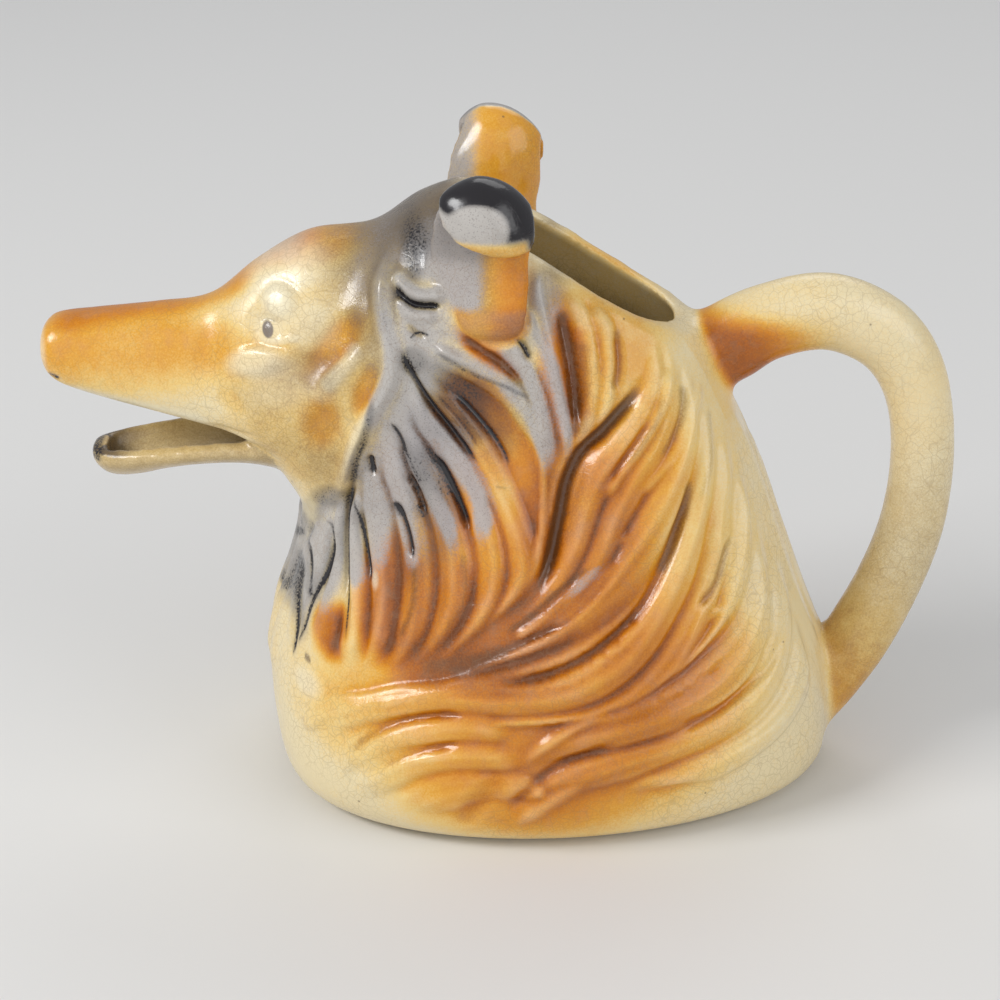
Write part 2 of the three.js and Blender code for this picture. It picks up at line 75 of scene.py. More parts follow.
# Slices of the body: front x and z, back x and z, half width, fullness and lean
SLICES = np.array([
    (-45, 0, 45, 0, 33, 0.9, 1.2),
    (-48.4, 3, 48.3, 3, 37.4, 0.9, 1.2),
    (-50, 9, 48.8, 10, 39.2, 0.9, 1.2),
    (-51, 20, 47.2, 20.5, 38, 0.9, 1.15),
    (-49.8, 29, 42.8, 32, 35, 0.88, 1.1),
    (-47, 37, 38.8, 43, 31.5, 0.86, 1.05),
    (-45, 44, 34.6, 55, 28, 0.84, 1),
    (-44.6, 49, 29.5, 68.5, 25, 0.82, 0.95),
    (-46, 52, 23, 82.5, 22.8, 0.82, 0.95),
    (-47.2, 54, 13, 95, 21, 0.82, 0.98),
    (-48.2, 56, -1, 104, 19.4, 0.82, 1.05),
    (-49, 58, -13, 106.5, 18.2, 0.82, 1.15),
    (-49.8, 59.8, -22.5, 104.3, 17, 0.82, 1.3),
    (-51, 61.6, -31, 99, 15.6, 0.8, 1.5),
    (-53.5, 63.2, -42, 97.5, 13.8, 0.8, 1.7),
    (-57, 64.6, -51, 92.5, 11.8, 0.8, 1.8),
    (-61, 65.6, -59, 86.4, 10, 0.8, 1.9),
    (-68, 67.4, -68, 84.9, 8.8, 0.78, 1.9),
    (-77, 69.6, -77.5, 83.9, 7.7, 0.76, 1.7),
    (-84, 71.6, -84.6, 83, 6.8, 0.74, 1.4),
    (-86.6, 73, -86.8, 81.8, 5.8, 0.74, 1.1),
    (-87.8, 75, -87.8, 80.4, 4, 0.8, 1),
])

# Sections of the lower jaw: x, underside, lip, half width, and how far above the lip its trough
# is cut clear
JAW = np.array([
    (-38, 52, 63, 8, 7),
    (-46, 54, 63.4, 9.4, 6.6),
    (-53, 56, 63.2, 9.6, 3.6),
    (-60, 56, 62.5, 8.9, 2),
    (-67, 55, 61.6, 8, 2),
    (-73, 53.6, 60.8, 7.2, 2),
    (-77.4, 53.5, 60.1, 5.8, 2),
    (-79.8, 55, 59.7, 3.9, 2),
    (-80.7, 57, 59.4, 1.8, 2),
])
JAW_END = len(JAW) - 1
TROUGH_END = 6.1
JAW_FULLNESS = 0.75
TROUGH_FULLNESS = 0.55

# Line along which the mouth that is filled was cut off, seen from the side
MOUTH_LINE = [
    (-16.5, 112), (-14.5, 105), (-11.5, 101.6), (-3, 96.6), (6, 90.7),
    (13, 86.5), (17.5, 84.3), (22, 82.4), (34, 81), (34, 125), (-16.5, 125),
]
RIM_POINTS = 9
CUTTER_HALF = 40.0

# Handle: middle line, thickness in the side view and breadth
HANDLE = np.array([
    (17, 74, 15, 12.5),
    (26.5, 77, 14.6, 12.2),
    (34.5, 81.4, 13.3, 11.6),
    (44.5, 83.5, 13.3, 11.4),
    (53.4, 80.3, 12.7, 11.2),
    (59, 74.2, 11.8, 11),
    (62, 65.5, 11, 10.8),
    (62.9, 54.5, 11, 10.8),
    (61.8, 43.2, 11.3, 11),
    (58.5, 32.2, 11.6, 11.2),
    (53.8, 21.8, 12.2, 11.6),
    (49, 14.4, 12.8, 12.6),
    (44.6, 8.4, 12.8, 13),
    (42, 5.6, 9, 11),
])

# Ear, from the lobe up to the fold and down to the folded tip: x, distance from the middle plane,
# z, width, thickness, how far its front and back edges curl, and how steeply it falls backwards
EAR = np.array([
    (-10.4, 17.4, 86.5, 6.5, 4.2, 0.2, 0.5, 0),
    (-10.6, 18.6, 88.5, 10.5, 5.2, 0.3, 1.2, 0),
    (-11.4, 17.4, 92.5, 13.4, 4.8, -1.2, 2.6, 0),
    (-12.4, 16.3, 98, 16.4, 4.6, -1.8, 3.2, 0),
    (-12.2, 15.9, 103.5, 16, 4.4, 0.6, 2.9, 0.05),
    (-11.6, 16.9, 108, 14.8, 4.2, 1.8, 2.5, 0.1),
    (-11, 19.2, 111, 14, 4.2, 2, 2.2, 0.18),
    (-11.2, 22.4, 110.8, 15, 4.2, 2.4, 2.6, 0.26),
    (-11.3, 25, 107.8, 15.6, 4, 2.8, 3, 0.3),
    (-11.4, 25.8, 104.2, 14, 3.6, 2.4, 2.6, 0.3),
    (-11.6, 25.4, 102.2, 9.6, 2.6, 1.4, 1.6, 0.3),
])
EAR_SLIP = 1
EAR_FULLNESS = 0.9

# A small step, for slopes along a loft
STEP = 0.01


def smooth(x):
    t = np.clip(x, 0, 1)
    return t * t * (3 - 2 * t)


def ramp(values, start, width):
    """Runs smoothly from 0 at the start up to 1 a width further on."""
    return smooth((values - start) / width)


def fade(values, end, width):
    """Runs smoothly down to 0 at the end, from 1 a width before it."""
    return smooth((end - values) / width)


def spline(values, s):
    """Catmull-Rom values at s along equally spaced rows, going straight on past the ends."""
    values = np.asarray(values, float)
    s = np.asarray(s, float)
    last = len(values) - 1
    i = np.clip(np.floor(s).astype(int), 0, last - 1)
    f = (s - i)[..., None]
    p1, p2 = values[i], values[i + 1]
    p0 = np.where((i > 0)[..., None], values[np.maximum(i - 1, 0)], 2 * p1 - p2)
    p3 = np.where((i + 2 <= last)[..., None], values[np.minimum(i + 2, last)], 2 * p2 - p1)
    a = -p0 + 3 * p1 - 3 * p2 + p3
    b = 2 * p0 - 5 * p1 + 4 * p2 - p3
    return ((a * f + b) * f + p2 - p0) * f * 0.5 + p1


def body_points(s, angle, side):
    front_x, front_z, back_x, back_z, half, full, lean = np.moveaxis(spline(SLICES, s), -1, 0)
    along = ((1 - np.cos(angle)) / 2) ** lean
    across = half * np.clip(np.sin(angle), 0, None) ** full
    return np.stack([
        front_x + (back_x - front_x) * along,
        side * across,
        front_z + (back_z - front_z) * along,
    ], -1)


def body_normals(s, angle, side):
    step = 2 * STEP
    inner = np.clip(angle, step, math.pi - step)
    along_body = body_points(s + step, inner, side) - body_points(s - step, inner, side)
    around_body = body_points(s, inner + step, side) - body_points(s, inner - step, side)
    normal = np.cross(around_body, along_body) * -side[..., None]
    ends = (angle <= 0) | (angle >= math.pi)
    normal[..., 1] = np.where(ends, 0, normal[..., 1])
    return normal / np.linalg.norm(normal, axis=-1, keepdims=True)


def body_rings(places, columns, offset):
    """Rings of body points, one for each place, moved out along the normal by offset."""
    j = np.arange(2 * columns)
    side = np.where(j < columns, -1.0, 1.0)
    angle = math.pi * np.where(j < columns, j, 2 * columns - j) / columns
    s, angle = np.meshgrid(places, angle, indexing="ij")
    side = np.broadcast_to(side, s.shape)
    return body_points(s, angle, side) + offset * body_normals(s, angle, side)


def jaw_rings(places, half_less, floor, clear_share, fullness, columns):
    x, under, lip, half, clear = spline(JAW, places).T
    angle = 2 * math.pi * np.arange(2 * columns) / (2 * columns)
    up = np.sqrt((1 - np.cos(angle)) / 2)
    across = np.sign(np.sin(angle)) * np.abs(np.sin(angle)) ** fullness
    low = (under + floor)[:, None]
    high = (lip + clear * clear_share)[:, None]
    return np.stack([
        np.broadcast_to(x[:, None], (len(x), len(angle))),
        (half - half_less)[:, None] * across,
        low + (high - low) * up,
    ], -1)


def handle_rings(steps, sides):
    s = np.linspace(0, len(HANDLE) - 1, steps)
    x, z, thick, across = spline(HANDLE, s).T
    direction = (spline(HANDLE, s + STEP) - spline(HANDLE, s - STEP))[:, :2]
    direction /= np.linalg.norm(direction, axis=1, keepdims=True)
    angle = 2 * math.pi * np.arange(sides) / sides
    out = thick[:, None] / 2 * np.cos(angle)
    return np.stack([
        x[:, None] - direction[:, 1:] * out,
        across[:, None] / 2 * np.sin(angle),
        z[:, None] + direction[:, :1] * out,
    ], -1)


def ear_rings(side, steps, sides):
    s = np.linspace(0, len(EAR) - 1, steps)
    x, out, z, width, thick, front, back, slant = spline(EAR, s).T
    direction = (spline(EAR, s + STEP) - spline(EAR, s - STEP))[:, 1:3]
    direction /= np.linalg.norm(direction, axis=1, keepdims=True)
    angle = 2 * math.pi * np.arange(sides) / sides
    wide = np.sign(np.cos(angle)) * np.abs(np.cos(angle)) ** EAR_FULLNESS
    curl = np.where(wide < 0, front[:, None], back[:, None])
    up = thick[:, None] / 2 * np.sin(angle) - curl * wide ** 2
    fall = (slant * width)[:, None] / 2 * wide
    return np.stack([
        x[:, None] + side * EAR_SLIP + width[:, None] / 2 * wide,
        side * (out[:, None] - direction[:, 1:] * up),
        z[:, None] + direction[:, :1] * up - fall,
    ], -1)


def new_object(name, vertices, faces):
    mesh = bpy.data.meshes.new(name)
    mesh.from_pydata(vertices.tolist(), [], faces)
    made = bpy.data.objects.new(name, mesh)
    bpy.context.scene.collection.objects.link(made)
    return made


def loft(name, rings):
    """Closed surface through rings of points, with a fan at each end, facing out."""
    rows, count = rings.shape[:2]
    ends = np.stack([rings[0].mean(0), rings[-1].mean(0)])
    vertices = np.concatenate([rings.reshape(-1, 3), ends])
    start, end = rows * count, rows * count + 1
    faces = []
    for j in range(count):
        k = (j + 1) % count
        faces.append((start, k, j))
        faces.append((end, (rows - 1) * count + j, (rows - 1) * count + k))
        for i in range(rows - 1):
            faces.append((i * count + j, i * count + k, (i + 1) * count + k, (i + 1) * count + j))
    made = new_object(name, vertices, faces)
    shape = bmesh.new()
    shape.from_mesh(made.data)
    if shape.calc_volume(signed=True) < 0:
        bmesh.ops.reverse_faces(shape, faces=shape.faces)
    shape.to_mesh(made.data)
    shape.free()
    return made


def settle(made):
    """Gives an object the mesh that its modifiers make."""
    evaluated = made.evaluated_get(bpy.context.evaluated_depsgraph_get())
    mesh = bpy.data.meshes.new_from_object(evaluated)
    made.modifiers.clear()
    made.data = mesh


def combine(base, tool, operation):
    step = base.modifiers.new(operation, "BOOLEAN")
    step.operation = operation
    step.solver = "MANIFOLD"
    step.object = tool
    settle(base)
    bpy.data.objects.remove(tool)


def mouth_cutter():
    edge = np.array(MOUTH_LINE, float)
    count = len(edge)
    near = np.column_stack([edge[:, 0], np.full(count, -CUTTER_HALF), edge[:, 1]])
    far = near * (1, -1, 1)
    faces = [tuple(range(count)), tuple(reversed(range(count, 2 * count)))]
    for j in range(count):
        k = (j + 1) % count
        faces.append((j, j + count, k + count, k))
    made = new_object("mouth_cutter", np.concatenate([near, far]), faces)
    shape = bmesh.new()
    shape.from_mesh(made.data)
    bmesh.ops.recalc_face_normals(shape, faces=shape.faces)
    bmesh.ops.triangulate(shape, faces=shape.faces)
    shape.to_mesh(made.data)
    shape.free()
    return made


def foot_cutter():
    outline = body_rings(np.array([0.5]), FOOT_COLUMNS, 0)[0]
    scale = 1 - FOOT_RING / np.hypot(outline[:, 0], outline[:, 1])
    inset = outline * scale[:, None]
    heights = (BELOW_FOOT, FOOT_RECESS)
    levels = [np.column_stack([inset[:, :2], np.full(len(inset), z)]) for z in heights]
    return loft("foot_cutter", np.stack(levels))


def skin_object():
    places = np.linspace(0, len(SLICES) - 1, SKIN_ROWS)
    return loft("skin", body_rings(places, SKIN_COLUMNS, 0))


def level_place(level):
    """The place along the slices at which the body's front has reached a height."""
    places = np.linspace(0, 4, 401)
    return places[np.searchsorted(spline(SLICES, places)[:, 1], level)]


def build_clay():
    """The whole creamer as one closed mesh of even small faces."""
    clay = skin_object()
    places = np.linspace(0, JAW_END, JAW_ROWS)
    combine(clay, loft("jaw", jaw_rings(places, 0, 0, 0, JAW_FULLNESS, JAW_COLUMNS)), "UNION")
    opening = mouth_cutter()
    combine(opening, skin_object(), "INTERSECT")
    for side in (-1, 1):
        combine(clay, loft("ear", ear_rings(side, EAR_ROWS, EAR_COLUMNS)), "UNION")
    combine(clay, loft("handle", handle_rings(HANDLE_ROWS, HANDLE_COLUMNS)), "UNION")
    combine(clay, opening, "DIFFERENCE")
    places = np.linspace(level_place(FLOOR_LEVEL), CAVITY_END, CAVITY_ROWS)
    combine(clay, loft("cavity", body_rings(places, CAVITY_COLUMNS, -WALL)), "DIFFERENCE")
    places = np.linspace(0, TROUGH_END, TROUGH_ROWS)
    trough = jaw_rings(places, LIP_WALL, TROUGH_FLOOR, 1, TROUGH_FULLNESS, TROUGH_COLUMNS)
    combine(clay, loft("trough", trough), "DIFFERENCE")
    combine(clay, foot_cutter(), "DIFFERENCE")
    voxels = clay.modifiers.new("Voxels", "REMESH")
    voxels.mode = "VOXEL"
    voxels.voxel_size = VOXEL
    settle(clay)
    return clay


def read_mesh(mesh):
    points = np.empty(len(mesh.vertices) * 3, np.float32)
    mesh.vertices.foreach_get("co", points)
    edges = np.empty(len(mesh.edges) * 2, np.int32)
    mesh.edges.foreach_get("vertices", edges)
    return points.reshape(-1, 3).astype(float), edges.reshape(-1, 2)


def soften(points, edges, rounds, weight=1.0, back=0.0):
    """Draws each point towards the middle of its neighbours, by a weight of its own, and back."""
    count = len(points)
    a, b = edges[:, 0], edges[:, 1]
    degree = np.bincount(a, minlength=count) + np.bincount(b, minlength=count)
    weight = np.broadcast_to(weight, count)[:, None]
    for turn in range(rounds):
        share = weight * (0.5 if turn % 2 == 0 or not back else -back)
        total = np.empty_like(points)
        for axis in range(3):
            value = points[:, axis]
            total[:, axis] = np.bincount(a, value[b], count) + np.bincount(b, value[a], count)
        points = points + share * (total / degree[:, None] - points)
    return points


def vertex_normals(mesh, points):
    mesh.vertices.foreach_set("co", points.astype(np.float32).ravel())
    mesh.update()
    normals = np.empty(len(mesh.vertices) * 3, np.float32)
    mesh.vertex_normals.foreach_get("vector", normals)
    return normals.reshape(-1, 3).astype(float)


# Maps of the side view, on a grid of small cells
CELL = 0.2
LOW_X, LOW_Z = -92.0, -2.0
COUNT_X, COUNT_Z = 740, 600
GRID_X = LOW_X + CELL * np.arange(COUNT_X)
GRID_Z = LOW_Z + CELL * np.arange(COUNT_Z)
# Points for each point of a path, when it is measured and when it is followed
CURVE_DENSITY = 30
PATH_DENSITY = 8


def empty_map():
    return np.zeros((COUNT_X, COUNT_Z))


def sample(values, x, z):
    u = np.clip((x - LOW_X) / CELL, 0, COUNT_X - 1.001)
    v = np.clip((z - LOW_Z) / CELL, 0, COUNT_Z - 1.001)
    i, j = u.astype(int), v.astype(int)
    f, g = u - i, v - j
    low = values[i, j] * (1 - f) + values[i + 1, j] * f
    high = values[i, j + 1] * (1 - f) + values[i + 1, j + 1] * f
    return low * (1 - g) + high * g


def blur(values, radius):
    """Blurs a map with three box filters of about that radius in millimetres."""
    reach = max(1, round(radius / CELL))
    width = 2 * reach + 1
    for _ in range(3):
        for axis in (0, 1):
            pad = [(0, 0), (0, 0)]
            pad[axis] = (reach + 1, reach)
            total = np.cumsum(np.pad(values, pad, mode="edge"), axis=axis)
            high = np.take(total, np.arange(width, total.shape[axis]), axis=axis)
            low = np.take(total, np.arange(0, total.shape[axis] - width), axis=axis)
            values = (high - low) / width
    return values


def resample(path, count):
    """Points at even distances along a smooth curve through the points of a path."""
    dense = spline(path, np.linspace(0, len(path) - 1, CURVE_DENSITY * len(path)))
    length = np.concatenate([[0], np.cumsum(np.linalg.norm(np.diff(dense, axis=0), axis=1))])
    even = np.linspace(0, length[-1], count)
    return np.column_stack([np.interp(even, length, dense[:, axis]) for axis in (0, 1)])


def near_path(path, reach):
    """The window of the map round a path, with the distance to it and the place along it."""
    points = resample(path, PATH_DENSITY * len(path)) if len(path) > 2 else np.array(path, float)
    low = points.min(0) - reach
    high = points.max(0) + reach
    i0, i1 = np.clip(np.searchsorted(GRID_X, (low[0], high[0])), 0, COUNT_X)
    j0, j1 = np.clip(np.searchsorted(GRID_Z, (low[1], high[1])), 0, COUNT_Z)
    x, z = np.meshgrid(GRID_X[i0:i1], GRID_Z[j0:j1], indexing="ij")
    best = np.full(x.shape, np.inf)
    along = np.zeros(x.shape)
    for k in range(len(points) - 1):
        ax, az = points[k]
        dx, dz = points[k + 1] - points[k]
        f = np.clip(((x - ax) * dx + (z - az) * dz) / (dx * dx + dz * dz + 1e-9), 0, 1)
        distance = np.hypot(x - ax - f * dx, z - az - f * dz)
        nearer = distance < best
        best = np.where(nearer, distance, best)
        along = np.where(nearer, (k + f) / (len(points) - 1), along)
    return (slice(i0, i1), slice(j0, j1)), best, along


# How far strokes, patches and bands reach for their size, how softly they end, and how wide and
# strong they still are at their tips
STROKE_TIP = 0.55
PATCH_EDGE, PATCH_SOFTNESS = 1.35, 0.9
BAND_EDGE, BAND_SOFTNESS = 1.5, 1.1
BAND_TIP, BAND_START = 0.4, 0.1


def stroke(values, path, half, amount, ends=0.2):
    """Adds a ridge (or a groove, below zero) along a path, fading out at its ends."""
    window, distance, along = near_path(path, half)
    taper = smooth(np.minimum(along, 1 - along) / ends)
    reach = half * (STROKE_TIP + (1 - STROKE_TIP) * taper)
    values[window] += amount * taper * smooth(1 - distance / reach)


def blob(values, x, z, reach_x, reach_z, amount, turn=0):
    """Sprays an oval patch: whole in the middle, gone a little past its reach."""
    angle = math.radians(turn)
    dx, dz = np.meshgrid(GRID_X - x, GRID_Z - z, indexing="ij")
    across = (dx * math.cos(angle) + dz * math.sin(angle)) / reach_x
    up = (-dx * math.sin(angle) + dz * math.cos(angle)) / reach_z
    spray = amount * smooth((PATCH_EDGE - np.hypot(across, up)) / PATCH_SOFTNESS)
    values[:] = 1 - (1 - values) * (1 - spray)


def line(values, path, half, amount, ends=0.15):
    """Sprays a band along a path, thinning and fading out at its ends."""
    window, distance, along = near_path(path, BAND_EDGE * half)
    taper = smooth(np.minimum(along, 1 - along) / ends + BAND_START)
    width = half * (BAND_TIP + (1 - BAND_TIP) * taper)
    spray = amount * taper * smooth((BAND_EDGE * width - distance) / (BAND_SOFTNESS * width))
    values[window] = 1 - (1 - values[window]) * (1 - spray)


# Locks of the mane in the side view. Each family is a sheet of locks side by side, and each path
# is the crest of one lock, from its root to its tip.
FRONT_LOCKS = [
    [(-40.5, 50), (-42.5, 44), (-44.5, 36), (-46.5, 27)],
    [(-39, 52.5), (-39.8, 46), (-41.5, 39), (-44.5, 30), (-46, 26)],
    [(-36.5, 57), (-37, 49), (-38, 41), (-40.5, 33), (-42.8, 27)],
    [(-34.7, 58), (-34.6, 50), (-34, 42), (-34, 36), (-35, 29.5)],
    [(-32.5, 63), (-30.5, 55), (-29.8, 48), (-29.8, 41), (-31.5, 34), (-34, 29.5)],
    [(-29, 67), (-26, 60), (-24, 52), (-23.5, 45), (-25, 37), (-29.5, 30.5)],
    [(-26.5, 71), (-21.8, 61.5), (-18.5, 54), (-17.5, 46), (-19.6, 39), (-25, 32)],
    [(-25.3, 77), (-19, 68), (-14.5, 59.5), (-11.5, 52), (-11.5, 45.5), (-14.5, 39.5), (-21, 33)],
    [(-24.5, 80), (-17, 72.5), (-11.5, 64), (-8, 55.5), (-6.8, 49), (-9, 43.5), (-14.5, 38)],
]
MIDDLE_LOCKS = [
    [(-21.5, 83.5), (-16, 82), (-10.3, 78.5), (-6.5, 74), (-3.8, 69), (-3.2, 62), (-3.5, 54),
     (-6.5, 46)],
    [(-14, 88), (-10, 86), (-6.7, 82), (-4.2, 77), (-2.5, 71), (-1.5, 65)],
    [(-8, 90), (-5, 86.5), (-3, 82), (-1.2, 76), (0, 70.5), (0.8, 66)],
    [(-5.5, 96), (-3.8, 90.5), (-2, 84), (-0.5, 78), (0.8, 72), (1.3, 68)],
]
UPPER_LOCKS = [
    [(1.5, 92.5), (3.5, 87), (4.6, 82), (4.8, 77), (3.8, 71.5), (2.5, 68)],
    [(5.5, 90), (7, 85), (7.6, 80), (7, 75), (5.8, 71)],
]
SIDE_LOCKS = [
    [(15, 84), (15.2, 78), (13.5, 73), (10, 68.5), (6.5, 64), (4, 58), (2, 52), (-1, 46.5),
     (-5.5, 42), (-11, 38.5)],
    [(17.5, 82), (18, 75), (15.5, 68), (11.5, 62), (8.2, 56.5), (6, 51), (2, 45), (-4, 40),
     (-10.5, 36.8)],
    [(20.5, 79), (21, 72), (19.5, 65), (16.5, 58), (12.8, 52.3), (9, 47.5), (4, 42.5),
     (-3, 37.8), (-12, 34.5)],
    [(23.8, 74), (24, 66), (23, 58), (21, 51), (18.5, 45.5), (15.5, 40.5), (12, 36), (7.5, 32.5),
     (0, 29.5), (-10, 28.5), (-22, 28.2), (-30, 25.5), (-38, 22)],
    [(27, 68), (27.3, 60), (26.3, 52), (25.8, 46), (23, 40), (20, 34.5), (16, 30), (10, 27),
     (0, 25), (-12, 24.5)],
    [(30, 60), (30.3, 52), (29.5, 44), (27, 38.5), (23, 34), (17, 29)],
    [(33, 52), (33.5, 44), (33.5, 36.5), (31.5, 31.5), (27, 27.5), (21.5, 25.3), (13, 23.5),
     (2.7, 22.4), (-2.6, 20.5), (-8, 17.5)],
    [(37.5, 42), (38, 34), (36, 27), (31, 22.5), (22, 19.5), (12, 17.5), (2, 14.5), (-5, 11.5)],
    [(41.5, 30), (41, 23), (36, 17.5), (26, 14), (14, 11.5)],
]
LOW_LOCKS = [
    [(-10, 29.5), (-16, 29), (-22, 28), (-27, 26.8), (-32, 24.8), (-38.5, 22), (-42, 19)],
    [(-8, 23.8), (-17, 23.5), (-23, 22), (-29.5, 20), (-34.5, 16.5), (-38, 11)],
    [(-6, 19), (-14, 19), (-22, 18), (-28, 15.5), (-32.5, 11.5), (-35, 6.5)],
    [(-2, 13.5), (-9, 14), (-16, 13), (-21, 10.5), (-24.5, 7)],
]
# Ridges that stand out by themselves: path, half width and height
RIDGES = [
    ([(-27, 99), (-29.2, 93), (-29, 88), (-27.8, 83), (-28, 79), (-30.2, 74.5), (-33, 69),
      (-35, 63), (-36.5, 58.5), (-39.5, 55)], 2.3, 1.5),
    ([(-27.3, 95.5), (-25.5, 93.3), (-22.5, 92.2), (-18.5, 93)], 1.8, 1.5),
    ([(-26.5, 92), (-24.5, 89.5), (-20.5, 89.2)], 1.6, 0.8),
    ([(-40, 51), (-41.2, 46), (-41.5, 41), (-43.5, 34)], 1.5, 1.1),
    ([(-25.5, 65.5), (-21.5, 61), (-18.5, 55.5), (-17.2, 50)], 1.3, 1.4),
    ([(-18.5, 69), (-15, 64.5), (-12.8, 59.5), (-13.3, 53.5)], 1.6, 1.3),
    ([(-21.5, 84.8), (-15.5, 82), (-10.5, 79.2), (-6, 76)], 1.5, 1.4),
    ([(-11.5, 87.5), (-8.5, 84), (-5.5, 79.5), (-3.6, 74), (-3, 67)], 2.2, 1.5),
    ([(-6, 88.5), (-2.8, 83), (-1, 77.5), (0.4, 72), (0.8, 67)], 1.4, 1.3),
    ([(4, 88), (4.4, 84), (5, 79)], 1.7, 1.2),
    ([(17.5, 80), (16.3, 74), (12.5, 68), (8.5, 63), (6.8, 58.5)], 2.2, 1.6),
    ([(22.5, 76), (20.5, 69.5), (16.5, 64), (11.5, 59.5)], 2.0, 1.4),
    ([(19, 59.5), (14.5, 55.5), (8, 52.3)], 1.4, 1.0),
    ([(15, 52), (8, 48.5), (3, 43.5), (-3, 39)], 2.0, 1.2),
    ([(5.5, 49.3), (2, 46), (-3, 41.5), (-8.5, 37.6)], 1.2, 1.1),
    ([(24.5, 62), (22.5, 54), (19, 47.5), (14.5, 42)], 1.9, 1.3),
    ([(28.5, 40), (23, 38.3), (17, 34.8)], 1.8, 1.2),
    ([(-3, 30.6), (-12, 30), (-20, 29), (-27, 26.8), (-33.5, 24)], 2.1, 1.5),
    ([(35.8, 38), (34.5, 33), (29, 28.8), (20, 26.3), (10, 25.2), (4, 24.6), (-2.5, 21.2),
      (-7.5, 17.2)], 2.0, 1.4),
    ([(-18.5, 23.2), (-25, 21), (-31, 17.6), (-35, 13.5)], 1.9, 1.1),
    ([(-36.5, 24), (-40, 21), (-44, 17)], 1.6, 0.8),
    ([(24, 22), (14, 18.6), (4, 14.8), (-4, 9.6), (-8.5, 5.5)], 2.2, 0.9),
    ([(-13, 16.5), (-20, 14.5), (-26, 11)], 1.8, 0.6),
]
# Grooves with a painted line in them: path, half width and depth, and the line's half width and
# strength
BLACK_GROOVES = [
    ([(-42.6, 46.5), (-41.9, 42.5), (-42.1, 37.5)], 0.7, 0.6, 0.31, 1.0),
    ([(-43, 43.5), (-44.5, 37), (-45.2, 31), (-45.9, 27)], 0.9, 0.8, 0.25, 0.95),
    ([(-34.7, 57.5), (-33.4, 53.5), (-32.3, 48.5), (-31.2, 43.5)], 0.8, 0.8, 0.2, 0.95),
    ([(-27.6, 58.5), (-26.2, 56), (-24.9, 52.5), (-24.1, 48.5)], 1.0, 1.1, 0.28, 0.85),
    ([(-26.5, 84), (-25.2, 81), (-22, 76), (-17.5, 70.5), (-13.3, 65.3)], 1.1, 1.1, 0.28, 0.72),
    ([(-18, 77.5), (-14, 73.3), (-11, 69.7), (-9, 66), (-9.8, 65)], 0.8, 0.7, 0.22, 0.62),
    ([(-20.5, 77), (-16.5, 72.5), (-13.5, 68.5)], 0.7, 0.6, 0.2, 0.75),
    ([(-28.3, 71.5), (-26.6, 69), (-25.2, 66)], 0.6, 0.6, 0.22, 0.85),
]
BROWN_GROOVES = [
    ([(28, 51), (26.3, 46.5), (24.8, 43), (22, 40.3)], 1.3, 1.0, 0.9, 0.45),
    ([(-15, 26), (-23, 24.9), (-29, 22.3), (-33.5, 18.5), (-35.5, 15.3)], 1.2, 0.9, 0.6, 0.35),
]
# All grooves: path, half width and depth
GROOVES = [row[:3] for row in BLACK_GROOVES + BROWN_GROOVES] + [
    ([(-38.3, 50.5), (-37.8, 48), (-39, 43.5), (-41.5, 38), (-43.5, 32.5), (-44.5, 29.5)], 0.8, 1.0),
    ([(-31.2, 74), (-32.3, 69), (-34, 64), (-35.1, 58.5), (-35.7, 52), (-35.7, 45), (-35.3, 40),
      (-35.5, 33)], 1.0, 1.0),
    ([(-31.7, 65.5), (-31.2, 61.5)], 0.7, 0.9),
    ([(-25.5, 63), (-23.5, 60), (-22.3, 56.5)], 1.0, 0.9),
    ([(-20.8, 67.2), (-18.3, 63), (-16, 57.5), (-15.2, 53.5)], 1.1, 1.1),
    ([(-27.3, 93.4), (-24.5, 91), (-19.5, 90.9)], 1.0, 1.1),
    ([(-25.5, 88), (-23.5, 86.3), (-22, 86.4)], 0.8, 0.8),
    ([(-9.3, 87.5), (-7, 85.3), (-5.2, 82)], 0.8, 0.8),
    ([(-17.5, 87.5), (-14.5, 84.6), (-10, 81.8), (-6, 78)], 1.3, 1.0),
    ([(-0.8, 91), (0.6, 85), (1.7, 79), (2.2, 71.5)], 1.9, 1.5),
    ([(8.3, 86), (8.8, 81), (8, 76.5)], 1.2, 0.8),
    ([(13.3, 79), (11, 75.2), (6.5, 70.6), (3, 67.6), (0.7, 63), (-0.6, 57), (-2.2, 50),
      (-4.8, 44.3)], 1.9, 1.9),
    ([(20.8, 62), (19.7, 56), (18, 51), (15.6, 46), (12.5, 41.5), (8, 37.6), (2, 34),
      (-5, 31.9), (-13, 31.2)], 1.6, 1.5),
    ([(14.3, 72), (10.5, 67), (7.2, 62)], 1.0, 0.8),
    ([(-16, 21.4), (-24, 18.8), (-30, 15.3), (-33, 11.5)], 1.1, 0.8),
    ([(-9, 16.5), (-14, 11), (-17.5, 5)], 3.0, 0.6),
    ([(10, 21.3), (0, 17.6), (-6, 13), (-9.5, 8.5)], 1.7, 0.8),
    ([(38, 33), (34.8, 27.6), (27, 24), (17, 22)], 1.3, 0.7),
]
# Swellings and hollows of the face: x, z, reaches, height and turn in degrees
FACE_FORMS = [
    (-46.6, 88.8, 2.9, 2.5, 0.9, 20),
    (-48.7, 84.6, 3.2, 2.7, -0.7, 0),
    (-48.5, 84.4, 1.4, 1.5, 0.45, 0),
    (-50.3, 79.3, 5.5, 2.3, 0.7, 15),
    (-37.5, 83, 6.5, 2.6, -0.9, 48),
    (-36.5, 79.3, 5, 1.6, 0.5, 50),
    (-32, 77, 1.8, 5, -0.7, -22),
    (-39, 69.5, 3.2, 4.2, -0.6, -25),
    (-44.5, 75.5, 4, 2, 0.4, -10),
    (-55, 72, 3, 2, -0.4, -45),
    (-58, 80, 3, 5, -0.35, -20),
]
